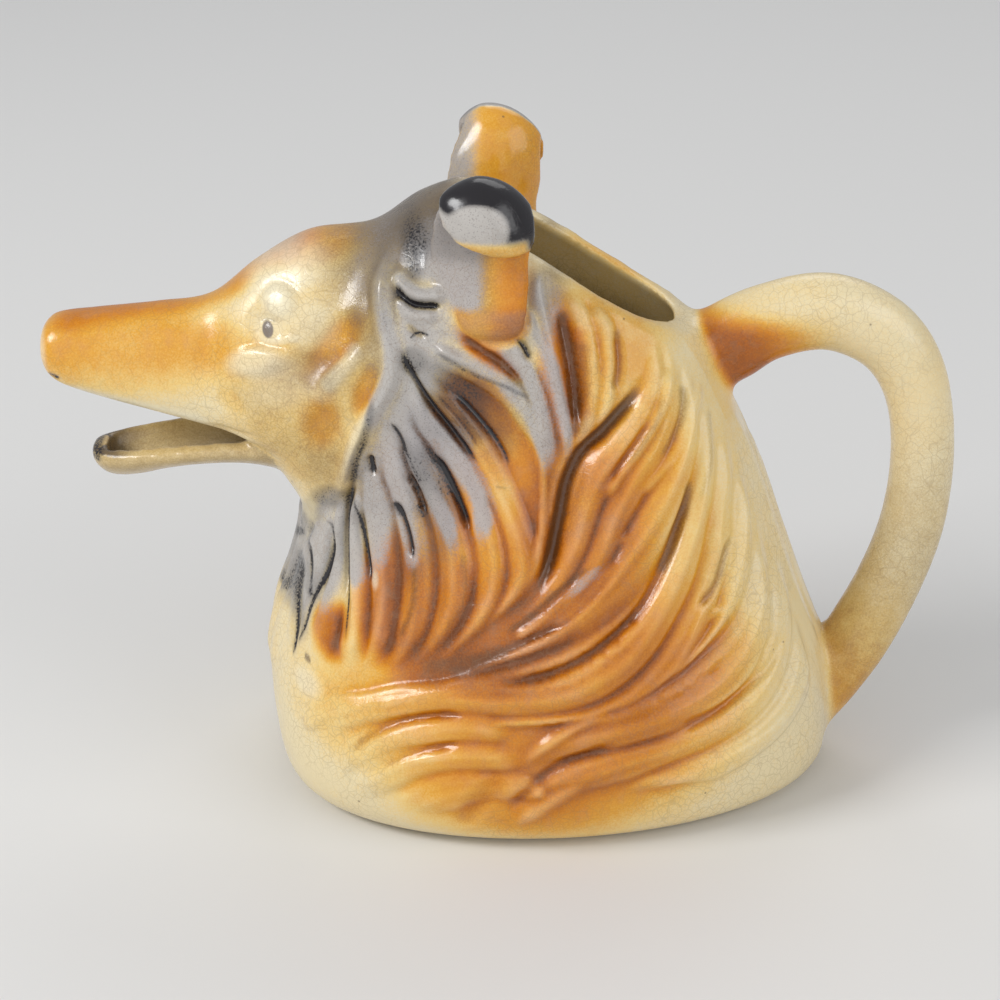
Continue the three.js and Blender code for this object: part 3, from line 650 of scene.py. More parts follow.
# Creases and folds of the face: path, half width and height
FACE_CREASES = [
    ([(-49.8, 88), (-49, 90.2), (-47, 91.6), (-44.5, 91.2), (-42.6, 89.6)], 0.9, -0.4),
    ([(-50.2, 85.4), (-49, 86.4), (-47.3, 86.2), (-46, 85)], 0.7, -0.35),
    ([(-54, 81), (-51, 82.1), (-47.5, 81.9), (-43.5, 82.6)], 0.8, -0.45),
    ([(-50.5, 83.2), (-47.5, 82.9), (-43, 84)], 0.8, 0.35),
    ([(-86, 74.3), (-85, 73.7), (-84, 72.7)], 0.7, -0.7),
    ([(-60, 66.8), (-54, 65.8), (-49.5, 65.6)], 0.9, -0.4),
    ([(-45, 77.2), (-41, 75.6), (-38, 73)], 1.0, 0.3),
]
# Sheets of locks: points along a guide, rows along a sheet and columns for each lock
GUIDE_POINTS = 90
SHEET_ROWS = 640
SHEET_COLUMNS = 60
# How high a lock is for its width, how narrow at its tip and how round, and what it varies by
CREST_RATIO = 0.30
LOCK_TIP = 0.5
LOCK_ROUNDNESS = 0.8
LOCK_SIZES = (0.8, 1.15)
LOCK_STARTS = (0.1, 0.2)
LOCK_FINISHES = (0.15, 0.3)
# Strands of a lock: how many, how high, and how far and how often they wander
STRANDS = 3
STRAND_HEIGHT = 0.09
STRAND_SWING = 1.2
STRAND_TURNS = (0.5, 1.2)


def lay_locks(relief, crests, rise, seed):
    """Raises a sheet of locks over the relief, rounded on top and creased where they meet."""
    random = np.random.default_rng(seed)
    count = len(crests)
    columns = SHEET_COLUMNS * count
    guides = np.stack([resample(np.array(path, float), GUIDE_POINTS) for path in crests])
    u = np.linspace(-0.5, count - 0.5, columns)
    s = np.linspace(0, GUIDE_POINTS - 1, SHEET_ROWS)
    across = spline(guides.reshape(count, -1), u).reshape(columns, GUIDE_POINTS, 2)
    places = spline(np.moveaxis(across, 1, 0).reshape(GUIDE_POINTS, -1), s)
    places = places.reshape(SHEET_ROWS, columns, 2)
    spacing = np.linalg.norm(np.gradient(places, axis=1), axis=2) * (columns - 1) / count
    lock = np.clip(np.round(u), 0, count - 1).astype(int)
    off = u - lock
    size = random.uniform(*LOCK_SIZES, count)[lock]
    start = random.uniform(*LOCK_STARTS, count)[lock]
    finish = random.uniform(*LOCK_FINISHES, count)[lock]
    along = (s / (GUIDE_POINTS - 1))[:, None]
    taper = smooth(along / start) * smooth((1 - along) / finish)
    reach = 0.5 * (LOCK_TIP + (1 - LOCK_TIP) * taper)
    crown = np.clip(1 - (off / reach) ** 2, 0, 1) ** LOCK_ROUNDNESS
    phase = random.uniform(0, 2 * math.pi, count)[lock]
    turns = random.uniform(*STRAND_TURNS, count)[lock]
    wander = STRAND_SWING * np.sin(2 * math.pi * along * turns + phase)
    strand = np.cos(2 * math.pi * STRANDS * off + wander)
    height = np.minimum(rise, CREST_RATIO * spacing) * size * taper
    height = height * (crown + STRAND_HEIGHT * strand * crown)
    i = np.round((places[..., 0] - LOW_X) / CELL).astype(int)
    j = np.round((places[..., 1] - LOW_Z) / CELL).astype(int)
    inside = (i >= 0) & (i < COUNT_X) & (j >= 0) & (j < COUNT_Z)
    sheet = empty_map()
    np.maximum.at(sheet, (i[inside], j[inside]), height[inside])
    np.maximum(relief, sheet, out=relief)


# Families of locks in the order in which they are laid: locks, rise and seed
FAMILIES = [
    (LOW_LOCKS, 1.1, 4),
    (SIDE_LOCKS, 1.6, 3),
    (UPPER_LOCKS, 1.3, 5),
    (MIDDLE_LOCKS, 1.4, 2),
    (FRONT_LOCKS, 1.5, 1),
]
RIDGE_ENDS = 0.15
CREASE_ENDS = 0.3
RELIEF_SOFTNESS = 0.2


def side_relief():
    relief = empty_map()
    for locks, rise, seed in FAMILIES:
        lay_locks(relief, locks, rise, seed)
    ridges = empty_map()
    for path, half, height in RIDGES:
        single = empty_map()
        stroke(single, path, half, height, RIDGE_ENDS)
        np.maximum(ridges, single, out=ridges)
    np.maximum(relief, ridges, out=relief)
    for path, half, depth in GROOVES:
        stroke(relief, path, half, -depth)
    for path, half, height in FACE_CREASES:
        stroke(relief, path, half, height, CREASE_ENDS)
    for x, z, reach_x, reach_z, height, turn in FACE_FORMS:
        form = empty_map()
        blob(form, x, z, reach_x, reach_z, 1, turn)
        relief += height * form
    return blur(relief, RELIEF_SOFTNESS)


# Locks seen from the front and from behind: distance from the middle plane, and height
CHEST_LOCKS = [
    [(0, 52), (0.5, 40), (0, 26)],
    [(5, 52), (5.5, 40), (5, 28), (3, 18)],
    [(9, 54), (10.5, 42), (11, 30), (10, 19)],
    [(13, 55), (16, 42), (18, 30), (18, 18)],
]
NAPE_LOCKS = [
    [(0, 62), (1, 45), (1, 28), (0, 12)],
    [(7, 72), (6.5, 55), (8, 36), (8, 15)],
    [(11, 76), (12, 58), (15, 38), (17, 16)],
    [(15, 78), (18, 58), (22, 38), (26, 18)],
]


END_RISE = 0.9
CHEST_SEED, NAPE_SEED = 6, 7


def end_relief(crests, seed):
    relief = empty_map()
    lay_locks(relief, crests, END_RISE, seed)
    return blur(relief, RELIEF_SOFTNESS)


# Sprayed colours in the side view, among them painted shade, painted highlights and painted
# reflections. Patches have x, z, reaches, strength and, where they aren't upright, a turn in
# degrees. Bands have a path, a half width, a strength and, where they aren't the usual ones, the
# share of the path over which the ends fade.
ORANGE_PATCHES = [
    (-2, 24, 31, 22, 0.42), (-8, 32, 36, 14, 0.3), (14, 46, 14, 26, 0.38, 20), (-6, 12, 22, 9, 0.3),
    (20, 22, 18, 13, 0.2, 20), (6, 20, 14, 8, 0.3, 20), (-24, 42, 9, 11, 0.5),
    (-10, 45, 14, 16, 0.5), (-17, 33, 16, 4.5, 0.5, -8), (4, 55, 10, 17, 0.55, 20),
    (-1, 80, 3.5, 12, 0.65), (9, 72, 10, 16, 0.36, 30), (-38.3, 34.8, 3.2, 4.6, 0.8, -15),
    (-31, 41, 4, 8, 0.5), (-27.5, 47, 3, 6, 0.5), (8, 87, 11, 7, 0.3, -30),
    (22, 66, 8, 16, 0.12, 20), (30, 45, 8, 22, 0.05, 15), (-9, 68, 4, 6, 0.5, -20),
    (-3.5, 60, 5, 9, 0.5), (-14, 76, 7, 5, 0.5, -40), (-12, 83.5, 7, 2.2, 0.8, -35),
    (-17, 60, 4, 8, 0.35, -20), (-5, 47, 8, 8, 0.3), (-73, 78.5, 24, 8, 0.34, 3),
    (-83, 79, 6, 6, 0.05), (-42, 97.5, 12, 4, 0.4, 12), (-40, 70, 3.4, 5.4, 0.24, -15),
    (-44, 68, 14, 14, 0.2), (-38, 84, 12, 12, 0.12), (-36.8, 83.6, 7.8, 3.4, 0.32, 47),
    (-32.4, 76.8, 2.2, 5, 0.26, -18), (-55, 71.8, 2.6, 2, 0.12, -45), (-36, 60, 8, 8, 0.1),
    (-37, 22, 10, 8, 0.16), (-70, 80.5, 22, 5, 0.14, 3), (-20, 62, 10, 13, 0.42, 20),
    (-17, 72, 7, 9, 0.45, -35), (-28, 56, 5, 12, 0.25),
]
ORANGE_BANDS = [
    ([(-88, 80), (-85, 83.2), (-78, 84.8), (-70, 86), (-62, 87.2), (-56, 89.6), (-51, 94),
      (-45, 97.2), (-38, 98.8)], 2.2, 0.5),
    ([(1, 88), (2.2, 80), (2.4, 72)], 2.2, 0.6),
    ([(-20, 33.5), (-12, 34), (-4, 36.5), (3, 41)], 2.2, 0.5),
    ([(-24, 50), (-23.5, 42), (-26, 35)], 1.3, 0.4),
    ([(-16, 50), (-15.6, 42), (-19.5, 36)], 1.3, 0.4),
    ([(-28.3, 49), (-28.3, 40), (-30, 33)], 1.2, 0.35),
]
VEIL_PATCHES = [
    (-24, 101, 7, 6, 0.24), (-17, 97, 9, 6, 0.85), (-24.5, 86, 5, 9, 0.9),
    (-27, 73, 5.5, 10, 0.92, 10), (-29.5, 60, 6, 9, 0.85), (-21, 68, 5, 8, 0.6, 30),
    (-38, 50, 4, 8, 0.85), (-41, 43, 4.5, 7, 0.8), (-33, 50, 3.4, 8, 0.65),
    (-44.5, 40, 2.8, 10, 0.6, 5), (-43.5, 25, 2.6, 2.6, 0.3), (-31, 94, 5, 9, 0.3),
    (-4, 90, 4.5, 6, 0.65), (-24, 56, 4.5, 8, 0.35, 20), (-8, 82, 5, 6, 0.3),
    (-19.5, 87, 5, 5.5, 0.7), (-21, 80.5, 4, 4, 0.5),
]
# Grey bands, most of them along crests of locks: partly grey paint, partly a painted reflection of the
# light on the crests
VEIL_AND_REFLECTION_BANDS = [
    ([(-27, 68), (-21.8, 61.3), (-18.7, 55.5), (-17.3, 50), (-17.4, 48)], 1.5, 0.85, 0.4),
    ([(-21, 72), (-15.2, 64.5), (-12.8, 59), (-13.2, 53), (-13.6, 50)], 1.9, 0.85, 0.35),
    ([(-11.8, 88.5), (-8.5, 84), (-5.3, 79.5), (-3.6, 74), (-2.6, 68), (-2.8, 62)], 2.0, 0.8, 0.3),
    ([(-13, 81), (-9, 78.5), (-5, 73), (-3.5, 67)], 1.6, 0.55, 0.35),
    ([(-6, 90), (-2.6, 83), (-0.8, 77), (0.6, 71), (1, 64)], 1.3, 0.7, 0.35),
    ([(-21, 85), (-15, 82), (-10, 79)], 1.4, 0.6, 0.35),
    ([(-34.8, 53), (-34.2, 45), (-34.6, 41)], 1.4, 0.45, 0.35),
    ([(-25, 71), (-18, 71), (-13, 66)], 1.4, 0.35, 0.35),
    ([(-26, 57), (-24.6, 50), (-25, 45)], 1.3, 0.5, 0.4),
    ([(-30.5, 58), (-29.4, 50), (-29.6, 44)], 1.3, 0.5, 0.4),
    ([(11, 75.2), (6.5, 70.6), (3, 67.6), (0.7, 63), (-0.6, 57), (-2.2, 50)], 0.9, 0.4, 0.2),
    ([(9, 50.5), (3.5, 47), (-1.5, 43)], 1.1, 0.5, 0.4),
]
# Brown patches: smoky brown paint on the crown and the mane, and painted shade on the cheek, the
# temple and the throat, which turn down and away from the light
UMBER_AND_SHADE_PATCHES = [
    (-25, 103.5, 12, 8, 0.84), (-33, 98, 9, 9, 0.46, 20), (-31.5, 90, 4.5, 10, 0.42),
    (-44, 70, 12, 13, 0.32), (-37, 59, 7, 8, 0.36), (-36.5, 84, 8, 10, 0.3, -20),
    (-43, 79, 6, 3, 0.22, 10), (-2.5, 93, 4, 4, 0.5), (-18, 33.5, 12, 4, 0.22, -8),
    (0, 62, 5, 10, 0.3, 10), (-9, 74, 7, 9, 0.4, -30), (-20, 73, 7, 11, 0.68, -40),
    (-60, 76, 12, 6, 0.1, -10), (-24, 57, 9, 13, 0.5),
]
SOOT_PATCHES = [
    (-24, 98.5, 2.4, 4.2, 0.85), (-22, 102.5, 8, 4.6, 0.55), (-16, 100.5, 5, 4, 0.5),
    (-30, 101, 6, 4, 0.26), (-24.3, 82.5, 2.4, 2.4, 0.6), (-19, 79.5, 7, 3.6, 0.5, -20),
    (-14, 74, 6, 4, 0.42, -45), (-20, 63.5, 2.6, 6, 0.62, 30), (-22.8, 59, 2.4, 5, 0.45, 10),
    (-24.3, 64, 2.4, 5, 0.4, 15), (-38.5, 56, 4, 2.6, 0.66, 30), (-42.3, 51, 2.2, 6, 0.5, -15),
    (-45.6, 42, 2.2, 9, 0.6, 5), (-29, 93, 3, 8, 0.32), (-11.5, 95.5, 4, 3, 0.5),
    (-18.5, 56, 2.6, 8, 0.35), (-12, 70, 5, 6, 0.3), (-31.5, 62, 3, 9, 0.3), (-4, 88, 3.4, 5, 0.3),
    (-20, 73, 5, 9, 0.36, -40),
]
SOOT_BANDS = [(row[0], *row[3:]) for row in BLACK_GROOVES] + [
    ([(-86.4, 74.6), (-85.6, 73.8), (-84.6, 73.1)], 0.28, 0.9),
    ([(-50, 85.6), (-48.8, 86.1), (-47.2, 85.9)], 0.2, 0.4),
    ([(-27.3, 93.6), (-24.5, 91.2), (-19.5, 91)], 0.6, 0.85),
    ([(-25, 85.5), (-23.5, 86.6), (-21.5, 86.2)], 0.19, 0.9),
    ([(-9.3, 87.2), (-7, 85.2), (-5.4, 82.6)], 0.31, 0.75),
    ([(-21, 83.8), (-14.5, 80.4), (-9, 78.3), (-5, 76)], 0.37, 0.6),
    ([(-11, 62.2), (-9, 61.9)], 0.15, 0.5),
    ([(-25.5, 67), (-24, 64), (-23, 61.5)], 0.31, 0.8),
    ([(-20.8, 67.2), (-18.6, 63), (-16.2, 57.5), (-15.2, 55)], 0.42, 0.66),
    ([(-27.3, 58), (-26, 55.5)], 0.72, 0.8),
    ([(-23.8, 58), (-22.6, 55.8)], 0.19, 0.8),
    ([(-31.7, 65.3), (-31.2, 61.8)], 0.31, 1.0),
    ([(-30.6, 76), (-32.3, 69), (-34, 64), (-35.1, 58.5)], 0.72, 0.62),
    ([(-34.8, 60), (-35.6, 54), (-35.7, 45), (-35.3, 40), (-35.5, 33)], 0.19, 0.95),
    ([(-40.5, 50.5), (-38.3, 50.8), (-37.8, 48), (-39, 43.5), (-41.5, 38), (-43.5, 32.5),
      (-44.5, 29.5)], 0.24, 1.0),
    ([(-41.5, 49), (-42.3, 46)], 0.25, 0.7),
    ([(-46, 45), (-46.8, 36)], 0.64, 0.5),
]
# A faint wide band of soot round each thin one
HALO = 1.1
HALO_STRENGTH = 0.34
SOOT_HALOS = [(path, half + HALO, HALO_STRENGTH * amount) for path, half, amount in SOOT_BANDS]
UMBER_BANDS = [(row[0], *row[3:]) for row in BROWN_GROOVES] + [
    ([(13.3, 79), (11, 75.2), (6.5, 70.6), (3, 67.6), (0.7, 63), (-0.6, 57), (-2.2, 50),
      (-4.4, 45)], 1.1, 0.82),
    ([(20.8, 62), (19.7, 56), (18, 51), (15.6, 46)], 0.9, 0.65),
    ([(14, 43), (8, 37.6), (2, 34), (-5, 31.9)], 0.8, 0.45),
    ([(2.2, 86), (2.8, 79), (2.5, 69)], 1.7, 0.5),
    ([(-0.6, 90), (1.2, 83)], 1.1, 0.5),
    ([(5, 49.7), (0, 46.2), (-6, 41), (-10, 38.6)], 0.6, 0.6),
    ([(-8, 36.5), (-16, 34), (-24, 32.5)], 1.2, 0.45),
    ([(-24, 49), (-24.2, 42), (-27, 36)], 0.6, 0.5),
    ([(-16.2, 52), (-16, 44), (-19.5, 37.5)], 0.5, 0.4),
    ([(-16, 21.4), (-24, 18.8), (-30, 15.3)], 0.5, 0.3),
    ([(-9, 16.5), (-14, 11), (-17.5, 5)], 2.0, 0.2),
    ([(16, 76), (14.5, 71), (9.5, 64.5)], 0.5, 0.4),
    ([(19.3, 77), (19, 71), (15.5, 65)], 0.8, 0.45),
    ([(24.3, 72), (24, 64), (22, 57)], 0.6, 0.3),
    ([(8.4, 87), (8.9, 81), (8, 76.5)], 0.8, 0.45),
    ([(-43.6, 29), (-42.2, 28.8)], 0.7, 0.7),
]
# Pale patches and bands: cream glaze on the nose, the underside of the snout and the jaw, and painted
# highlights on the brow, the cheek and the crests of ridges and folds
PALE_AND_HIGHLIGHT_PATCHES = [
    (-46.6, 88.8, 2.8, 2.6, 0.85), (-45, 94, 8, 3.4, 0.55, 12), (-50, 79, 5.5, 2.6, 0.65, 10),
    (-42, 86, 5, 4, 0.4), (-87.6, 78, 1.2, 4, 0.5), (-48.6, 84.4, 3, 3, 0.5),
    (-46, 76, 6, 4, 0.35, 20), (-46, 92.5, 7, 3, 0.3, 20), (-39, 77.5, 3, 4, 0.3, -30),
    (-43, 25, 2.6, 2.4, 0.5), (-34, 44.5, 0.8, 2.5, 0.5), (-30.6, 44.5, 0.7, 1.6, 0.6),
    (-56, 64, 5, 1.6, 0.6),
]
PALE_AND_HIGHLIGHT_BANDS = [
    ([(-33, 84.5), (-36, 80), (-39.5, 76)], 1.3, 0.6),
    ([(-85, 71.5), (-78, 70), (-68, 68), (-58, 66.5)], 1.7, 0.75),
    ([(-29.5, 100), (-30, 93), (-28.6, 86), (-27.8, 80), (-30, 75), (-33.4, 69), (-36.2, 60)],
     1.1, 0.55),
    ([(-27.5, 95.8), (-25.5, 93.6), (-22, 92.5), (-18.5, 93.3)], 0.8, 0.6),
    ([(-50.5, 83), (-47.5, 82.9), (-42.5, 83.9)], 0.5, 0.5),
]


def spray(patches, bands):
    values = empty_map()
    for patch in patches:
        blob(values, *patch)
    for band in bands:
        line(values, *band)
    return values


def skin_tree():
    plain = skin_object()
    points, _ = read_mesh(plain.data)
    faces = [tuple(face.vertices) for face in plain.data.polygons]
    bpy.data.objects.remove(plain)
    return BVHTree.FromPolygons(points.tolist(), faces)


def distance_outside(points, tree):
    """How far each point is outside the plain body, in millimetres; below zero inside it."""
    result = np.empty(len(points))
    for i, point in enumerate(points):
        place, normal, _, distance = tree.find_nearest(point)
        result[i] = distance if (Vector(point) - place).dot(normal) > 0 else -distance
    return result


PLACE_STEPS = 130
FAR_AWAY = 99.0
NEAR_HANDLE_X, NEAR_HANDLE_Y = 12, 10


def handle_place(points):
    """The nearest place on the handle's middle line, and how far outside the handle a point is."""
    s = np.linspace(0, len(HANDLE) - 1, PLACE_STEPS)
    middle = spline(HANDLE, s)
    place = np.zeros(len(points))
    beyond = np.full(len(points), FAR_AWAY)
    near = (points[:, 0] > NEAR_HANDLE_X) & (np.abs(points[:, 1]) < NEAR_HANDLE_Y)
    flat = np.hypot(points[near, 0:1] - middle[:, 0], points[near, 2:3] - middle[:, 1])
    nearest = flat.argmin(1)
    place[near] = s[nearest]
    beyond[near] = flat[np.arange(len(nearest)), nearest] - middle[nearest, 2] / 2
    return place, beyond


BODY, HANDLE_PIECE, EAR_LEFT, EAR_RIGHT = range(4)
# Pieces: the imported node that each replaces, its slot, and the roughness and specks of its glaze
BLUEPRINT = {
    BODY: ("body", "body_glaze", 0.16, 1.5),
    HANDLE_PIECE: ("handle", "handle_glaze", 0.2, 1.5),
    EAR_LEFT: ("ear_left", "ear_glaze", 0.12, 0.35),
    EAR_RIGHT: ("ear_right", "ear_glaze", 0.12, 0.35),
}
# How far outside the body the seams of the stuck-on pieces run, and how deep their collars go
SEAM = 0.7
COLLAR = 1.0

# Room in which the ears are: from and to x, above z, and outside y
EAR_FROM, EAR_TO, EAR_ABOVE, EAR_BEYOND = -24, 2, 82, 8

# Smoothing: a few plain rounds, then rounds that draw back so that nothing shrinks
PLAIN_ROUNDS = 6
EVEN_ROUNDS, EVEN_BACK = 40, 0.52
# Fillets: rounds, how near to the handle and to the body's skin they are, and how they fade
FILLET_ROUNDS = 60
FILLET_REACH, FILLET_DEPTH, FILLET_FADE = 6, 5, 4
EAR_FILLET, EAR_FILLET_DEPTH = 0.4, 2.5
RIM_REACH = 3.5
RIM_SMOOTHING = 0.55
RIM_FAR = 12.0


def near_ears(points):
    x, y, z = points.T
    return (x > EAR_FROM) & (x < EAR_TO) & (z > EAR_ABOVE) & (np.abs(y) > EAR_BEYOND)


def near_skin(points, tree, depth):
    """Runs from 1 at the body's plain skin to 0 at a depth inside it or outside."""
    return smooth(1 - np.abs(distance_outside(points, tree)) / depth)


def smooth_clay(mesh, tree):
    """Takes the steps of the voxels out of the clay, and runs the stuck-on pieces into the body."""
    points, edges = read_mesh(mesh)
    points = soften(points, edges, PLAIN_ROUNDS)
    points = soften(points, edges, EVEN_ROUNDS, 1.0, EVEN_BACK)
    _, beyond = handle_place(points)
    weight = np.zeros(len(points))
    near = beyond < FILLET_REACH
    weight[near] = near_skin(points[near], tree, FILLET_DEPTH)
    weight *= fade(beyond, FILLET_REACH, FILLET_FADE)
    near = near_ears(points)
    weight[near] = EAR_FILLET * near_skin(points[near], tree, EAR_FILLET_DEPTH)
    edge = fade(sample(rim_map(), points[:, 0], points[:, 2]), RIM_REACH, RIM_REACH)
    weight = np.maximum(weight, RIM_SMOOTHING * edge)
    points = soften(points, edges, FILLET_ROUNDS, weight)
    points[:, 2] = np.maximum(points[:, 2], 0)
    mesh.vertices.foreach_set("co", points.astype(np.float32).ravel())
    mesh.update()


# Painted lines: how far they are spread to find the faces to divide, from what strength on, how
# far to the side and how far out these lie, and how often their edges are cut
LINE_SPREAD = 0.5
LINE_STRENGTH = 0.04
LINE_FACING = 0.2
LINE_OUT = 6
FINE_CUTS = 2


def refine_clay(mesh):
    """Divides the faces that carry thin painted lines, and makes all faces triangles."""
    points, _ = read_mesh(mesh)
    normals = vertex_normals(mesh, points)
    lines = blur(spray([], SOOT_BANDS), LINE_SPREAD)
    wanted = sample(lines, points[:, 0], points[:, 2]) > LINE_STRENGTH
    wanted &= normals[:, 1] * np.sign(points[:, 1]) > LINE_FACING
    wanted &= np.abs(points[:, 1]) > LINE_OUT
    shape = bmesh.new()
    shape.from_mesh(mesh)
    edges = [edge for edge in shape.edges if all(wanted[vertex.index] for vertex in edge.verts)]
    bmesh.ops.subdivide_edges(shape, edges=edges, cuts=FINE_CUTS, use_grid_fill=True)
    bmesh.ops.triangulate(shape, faces=shape.faces)
    shape.to_mesh(mesh)
    shape.free()


# The handle's colours: where they begin or end along it, in rows of its table, and over how many
UPPER_END = (3.6, 2.2)
LOWER_START = (8, 3.5)
PALE_START, PALE_END = (2, 2), (9, 2)
BROWN_START, BROWN_END = (5, 3), (13.4, 3)
SMOKE_PLACE, SMOKE_HALF = 7.2, 0.9
# Their limits in millimetres: under a height that falls along the handle, and behind an x
ORANGE_TOP, ORANGE_FALL = (87, 6), 0.5
SMOKE_X = (58, 3)
# Their strengths
UPPER_ORANGE, LOWER_ORANGE, LEAST_ORANGE = 0.8, 0.4, 0.05
HANDLE_PALE, HANDLE_UMBER, HANDLE_SOOT = 0.25, 0.36, 0.2


def paint_handle(x, z, place, tint):
    """Orange fades away from the upper joint and comes back, weaker, near the lower one."""
    level = z + ORANGE_FALL * (place - 1)
    upper = UPPER_ORANGE * fade(place, *UPPER_END) * fade(level, *ORANGE_TOP)
    lower = LOWER_ORANGE * ramp(place, *LOWER_START)
    smoke = smooth(1 - np.abs(place - SMOKE_PLACE) / SMOKE_HALF) * ramp(x, *SMOKE_X)
    tint["orange"] = np.maximum(upper, lower) + LEAST_ORANGE
    tint["veil_and_reflection"] = np.zeros(len(x))
    tint["pale_and_highlight"] = HANDLE_PALE * ramp(place, *PALE_START) * fade(place, *PALE_END)
    tint["umber_and_shade"] = HANDLE_UMBER * ramp(place, *BROWN_START) * fade(place, *BROWN_END)
    tint["soot_and_shadow"] = HANDLE_SOOT * smoke


# Parts of an ear: where each begins or ends, and over how far, up, out and backwards from its
# middle in millimetres
EAR_MIDDLE_X = -11.3
HOOD_UP, HOOD_OUT, HOOD_TOP = (101.5, 2), (18.5, 2), (109, 1.5)
LIP_UP, LIP_HALF, LIP_OUT, LIP_END = 103.4, 2.4, (22, 1.5), (7.5, 2)
INNER_FACING = 0.5
HOLLOW_EDGE = (-1.5, 5.5)
LOBE_TOP = (92.5, 3)
# A painted reflection on the near tip: a grey oval, with a dark border above a slanting line
REFLECTION_X, REFLECTION_Z, REFLECTION_REACH_X, REFLECTION_REACH_Z = -1.6, 106.6, 4.7, 3.6
REFLECTION_BORDER, BORDER_SLANT, BORDER_LINE = (0.9, 0.35), 0.5, (104.5, 2)
# The near ear's veil, and the painted shadow under its folded tip
VEIL_END, SHADOW_UP, SHADOW_END = (-3.5, 5), (96, 4), (-1, 4)
BORDER_SOOT, FACE_SOOT, HOLLOW_SHADOW = 1.25, 0.1, 0.55
# The far ear, of which the bright inside shows
BRIGHT_FACING, BRIGHT_BACK, FAR_SMOKE = 0.3, (-6.5, 5), (-2.5, 4)
BRIGHT_ORANGE, BRIGHT_DEEPER, BRIGHT_VEIL, FAR_SOOT = 0.3, 0.16, 0.75, 0.4
# Strengths of the ears' colours
HOLLOW_ORANGE, EDGE_ORANGE, LOBE_ORANGE, MOST_ORANGE = 0.34, 0.28, 0.16, 0.95
INNER_ORANGE, INNER_EDGE_ORANGE, LIP_ORANGE = 0.2, 0.4, 0.34
MOST_SOOT, LIP_CLEAN, LOBE_PALE = 1.3, 0.8, 0.12
HOLLOW_UMBER, LOBE_UMBER = 0.5, 0.3


def paint_ear(x, y, z, normals, side, tint):
    """A hollow from smoke and painted shadow to orange, under a folded tip with a dark edge and, on
    the near tip, a grey oval of painted reflection.
    """
    out = np.abs(y)
    middle = x - side * EAR_SLIP - EAR_MIDDLE_X
    hood = np.maximum(ramp(z, *HOOD_UP) * ramp(out, *HOOD_OUT), ramp(z, *HOOD_TOP))
    lip = smooth(1 - np.abs(z - LIP_UP) / LIP_HALF) * ramp(out, *LIP_OUT) * fade(middle, *LIP_END)
    inner = smooth(-normals[:, 1] * side / INNER_FACING) * (1 - hood)
    hollow = (1 - hood) * (1 - inner)
    to_edge = ramp(middle, *HOLLOW_EDGE)
    lobe = fade(z, *LOBE_TOP)
    orange = hollow * (HOLLOW_ORANGE + EDGE_ORANGE * to_edge + LOBE_ORANGE * lobe)
    orange += (inner + hood * inner) * (INNER_ORANGE + INNER_EDGE_ORANGE * to_edge)
    if side > 0:
        bright = smooth(-normals[:, 1] / BRIGHT_FACING)
        from_front = ramp(middle, *BRIGHT_BACK)
        orange += bright * (BRIGHT_ORANGE + BRIGHT_DEEPER * from_front - orange)
        veil_and_reflection = BRIGHT_VEIL * (1 - from_front) * bright + hood * (1 - bright)
        soot_and_shadow = FAR_SOOT * fade(middle, *FAR_SMOKE) + FAR_SOOT * hood * (1 - bright)
        lip = lip * (1 - bright)
    else:
        # The grey oval left clear of the dark border is a painted reflection of the light on the
        # glossy black fold
        face = np.hypot((middle - REFLECTION_X) / REFLECTION_REACH_X, (z - REFLECTION_Z) / REFLECTION_REACH_Z)
        dark = ramp(face, *REFLECTION_BORDER) * ramp(z + BORDER_SLANT * middle, *BORDER_LINE)
        veil_and_reflection = np.maximum(hood, hollow * (1 - ramp(middle, *VEIL_END)) * (1 - lobe))
        soot_and_shadow = BORDER_SOOT * dark * hood + FACE_SOOT * hood
        # Black high in the hollow, just under the folded tip, is painted shadow
        soot_and_shadow += hollow * HOLLOW_SHADOW * ramp(z, *SHADOW_UP) * (1 - ramp(middle, *SHADOW_END))
    tint["orange"] = np.clip(orange, 0, MOST_ORANGE) * (1 - lip) + LIP_ORANGE * lip
    tint["veil_and_reflection"] = np.clip(veil_and_reflection, 0, 1) * (1 - lip)
    tint["soot_and_shadow"] = np.clip(soot_and_shadow, 0, MOST_SOOT) * (1 - LIP_CLEAN * lip)
    tint["pale_and_highlight"] = LOBE_PALE * lobe * hollow
    tint["umber_and_shade"] = hollow * (HOLLOW_UMBER * (1 - to_edge) * (1 - lobe) + LOBE_UMBER * lobe)


# The jaw is in front of an x, below a z and outside the plain body. Its trough is below the lip
# and is turned inwards, or up, and never down.
JAW_X, JAW_Z, JAW_OUT = -46, 65.6, 0.3
BELOW_LIP, TURNED_IN, TURNED_UP, TURNED_DOWN = 0.25, 0.1, 0.6, -0.2
# Where its colours end, and over how far
TROUGH_BROWN, TROUGH_BLACK, LIP_BLACK, LIP_BLACK_UP = (-71, 7), (-70, 8), (-77.8, 1.6), (57, 1.2)
CHIN_FADE = 4
# Their strengths
# The jaw's brown is painted shade, as the jaw lies under the snout
JAW_ORANGE, JAW_SHADE, JAW_PALE = 0.16, 0.46, 0.25
TROUGH_UMBER, TROUGH_DEEPER, TROUGH_SOOT = 0.42, 0.35, 0.6


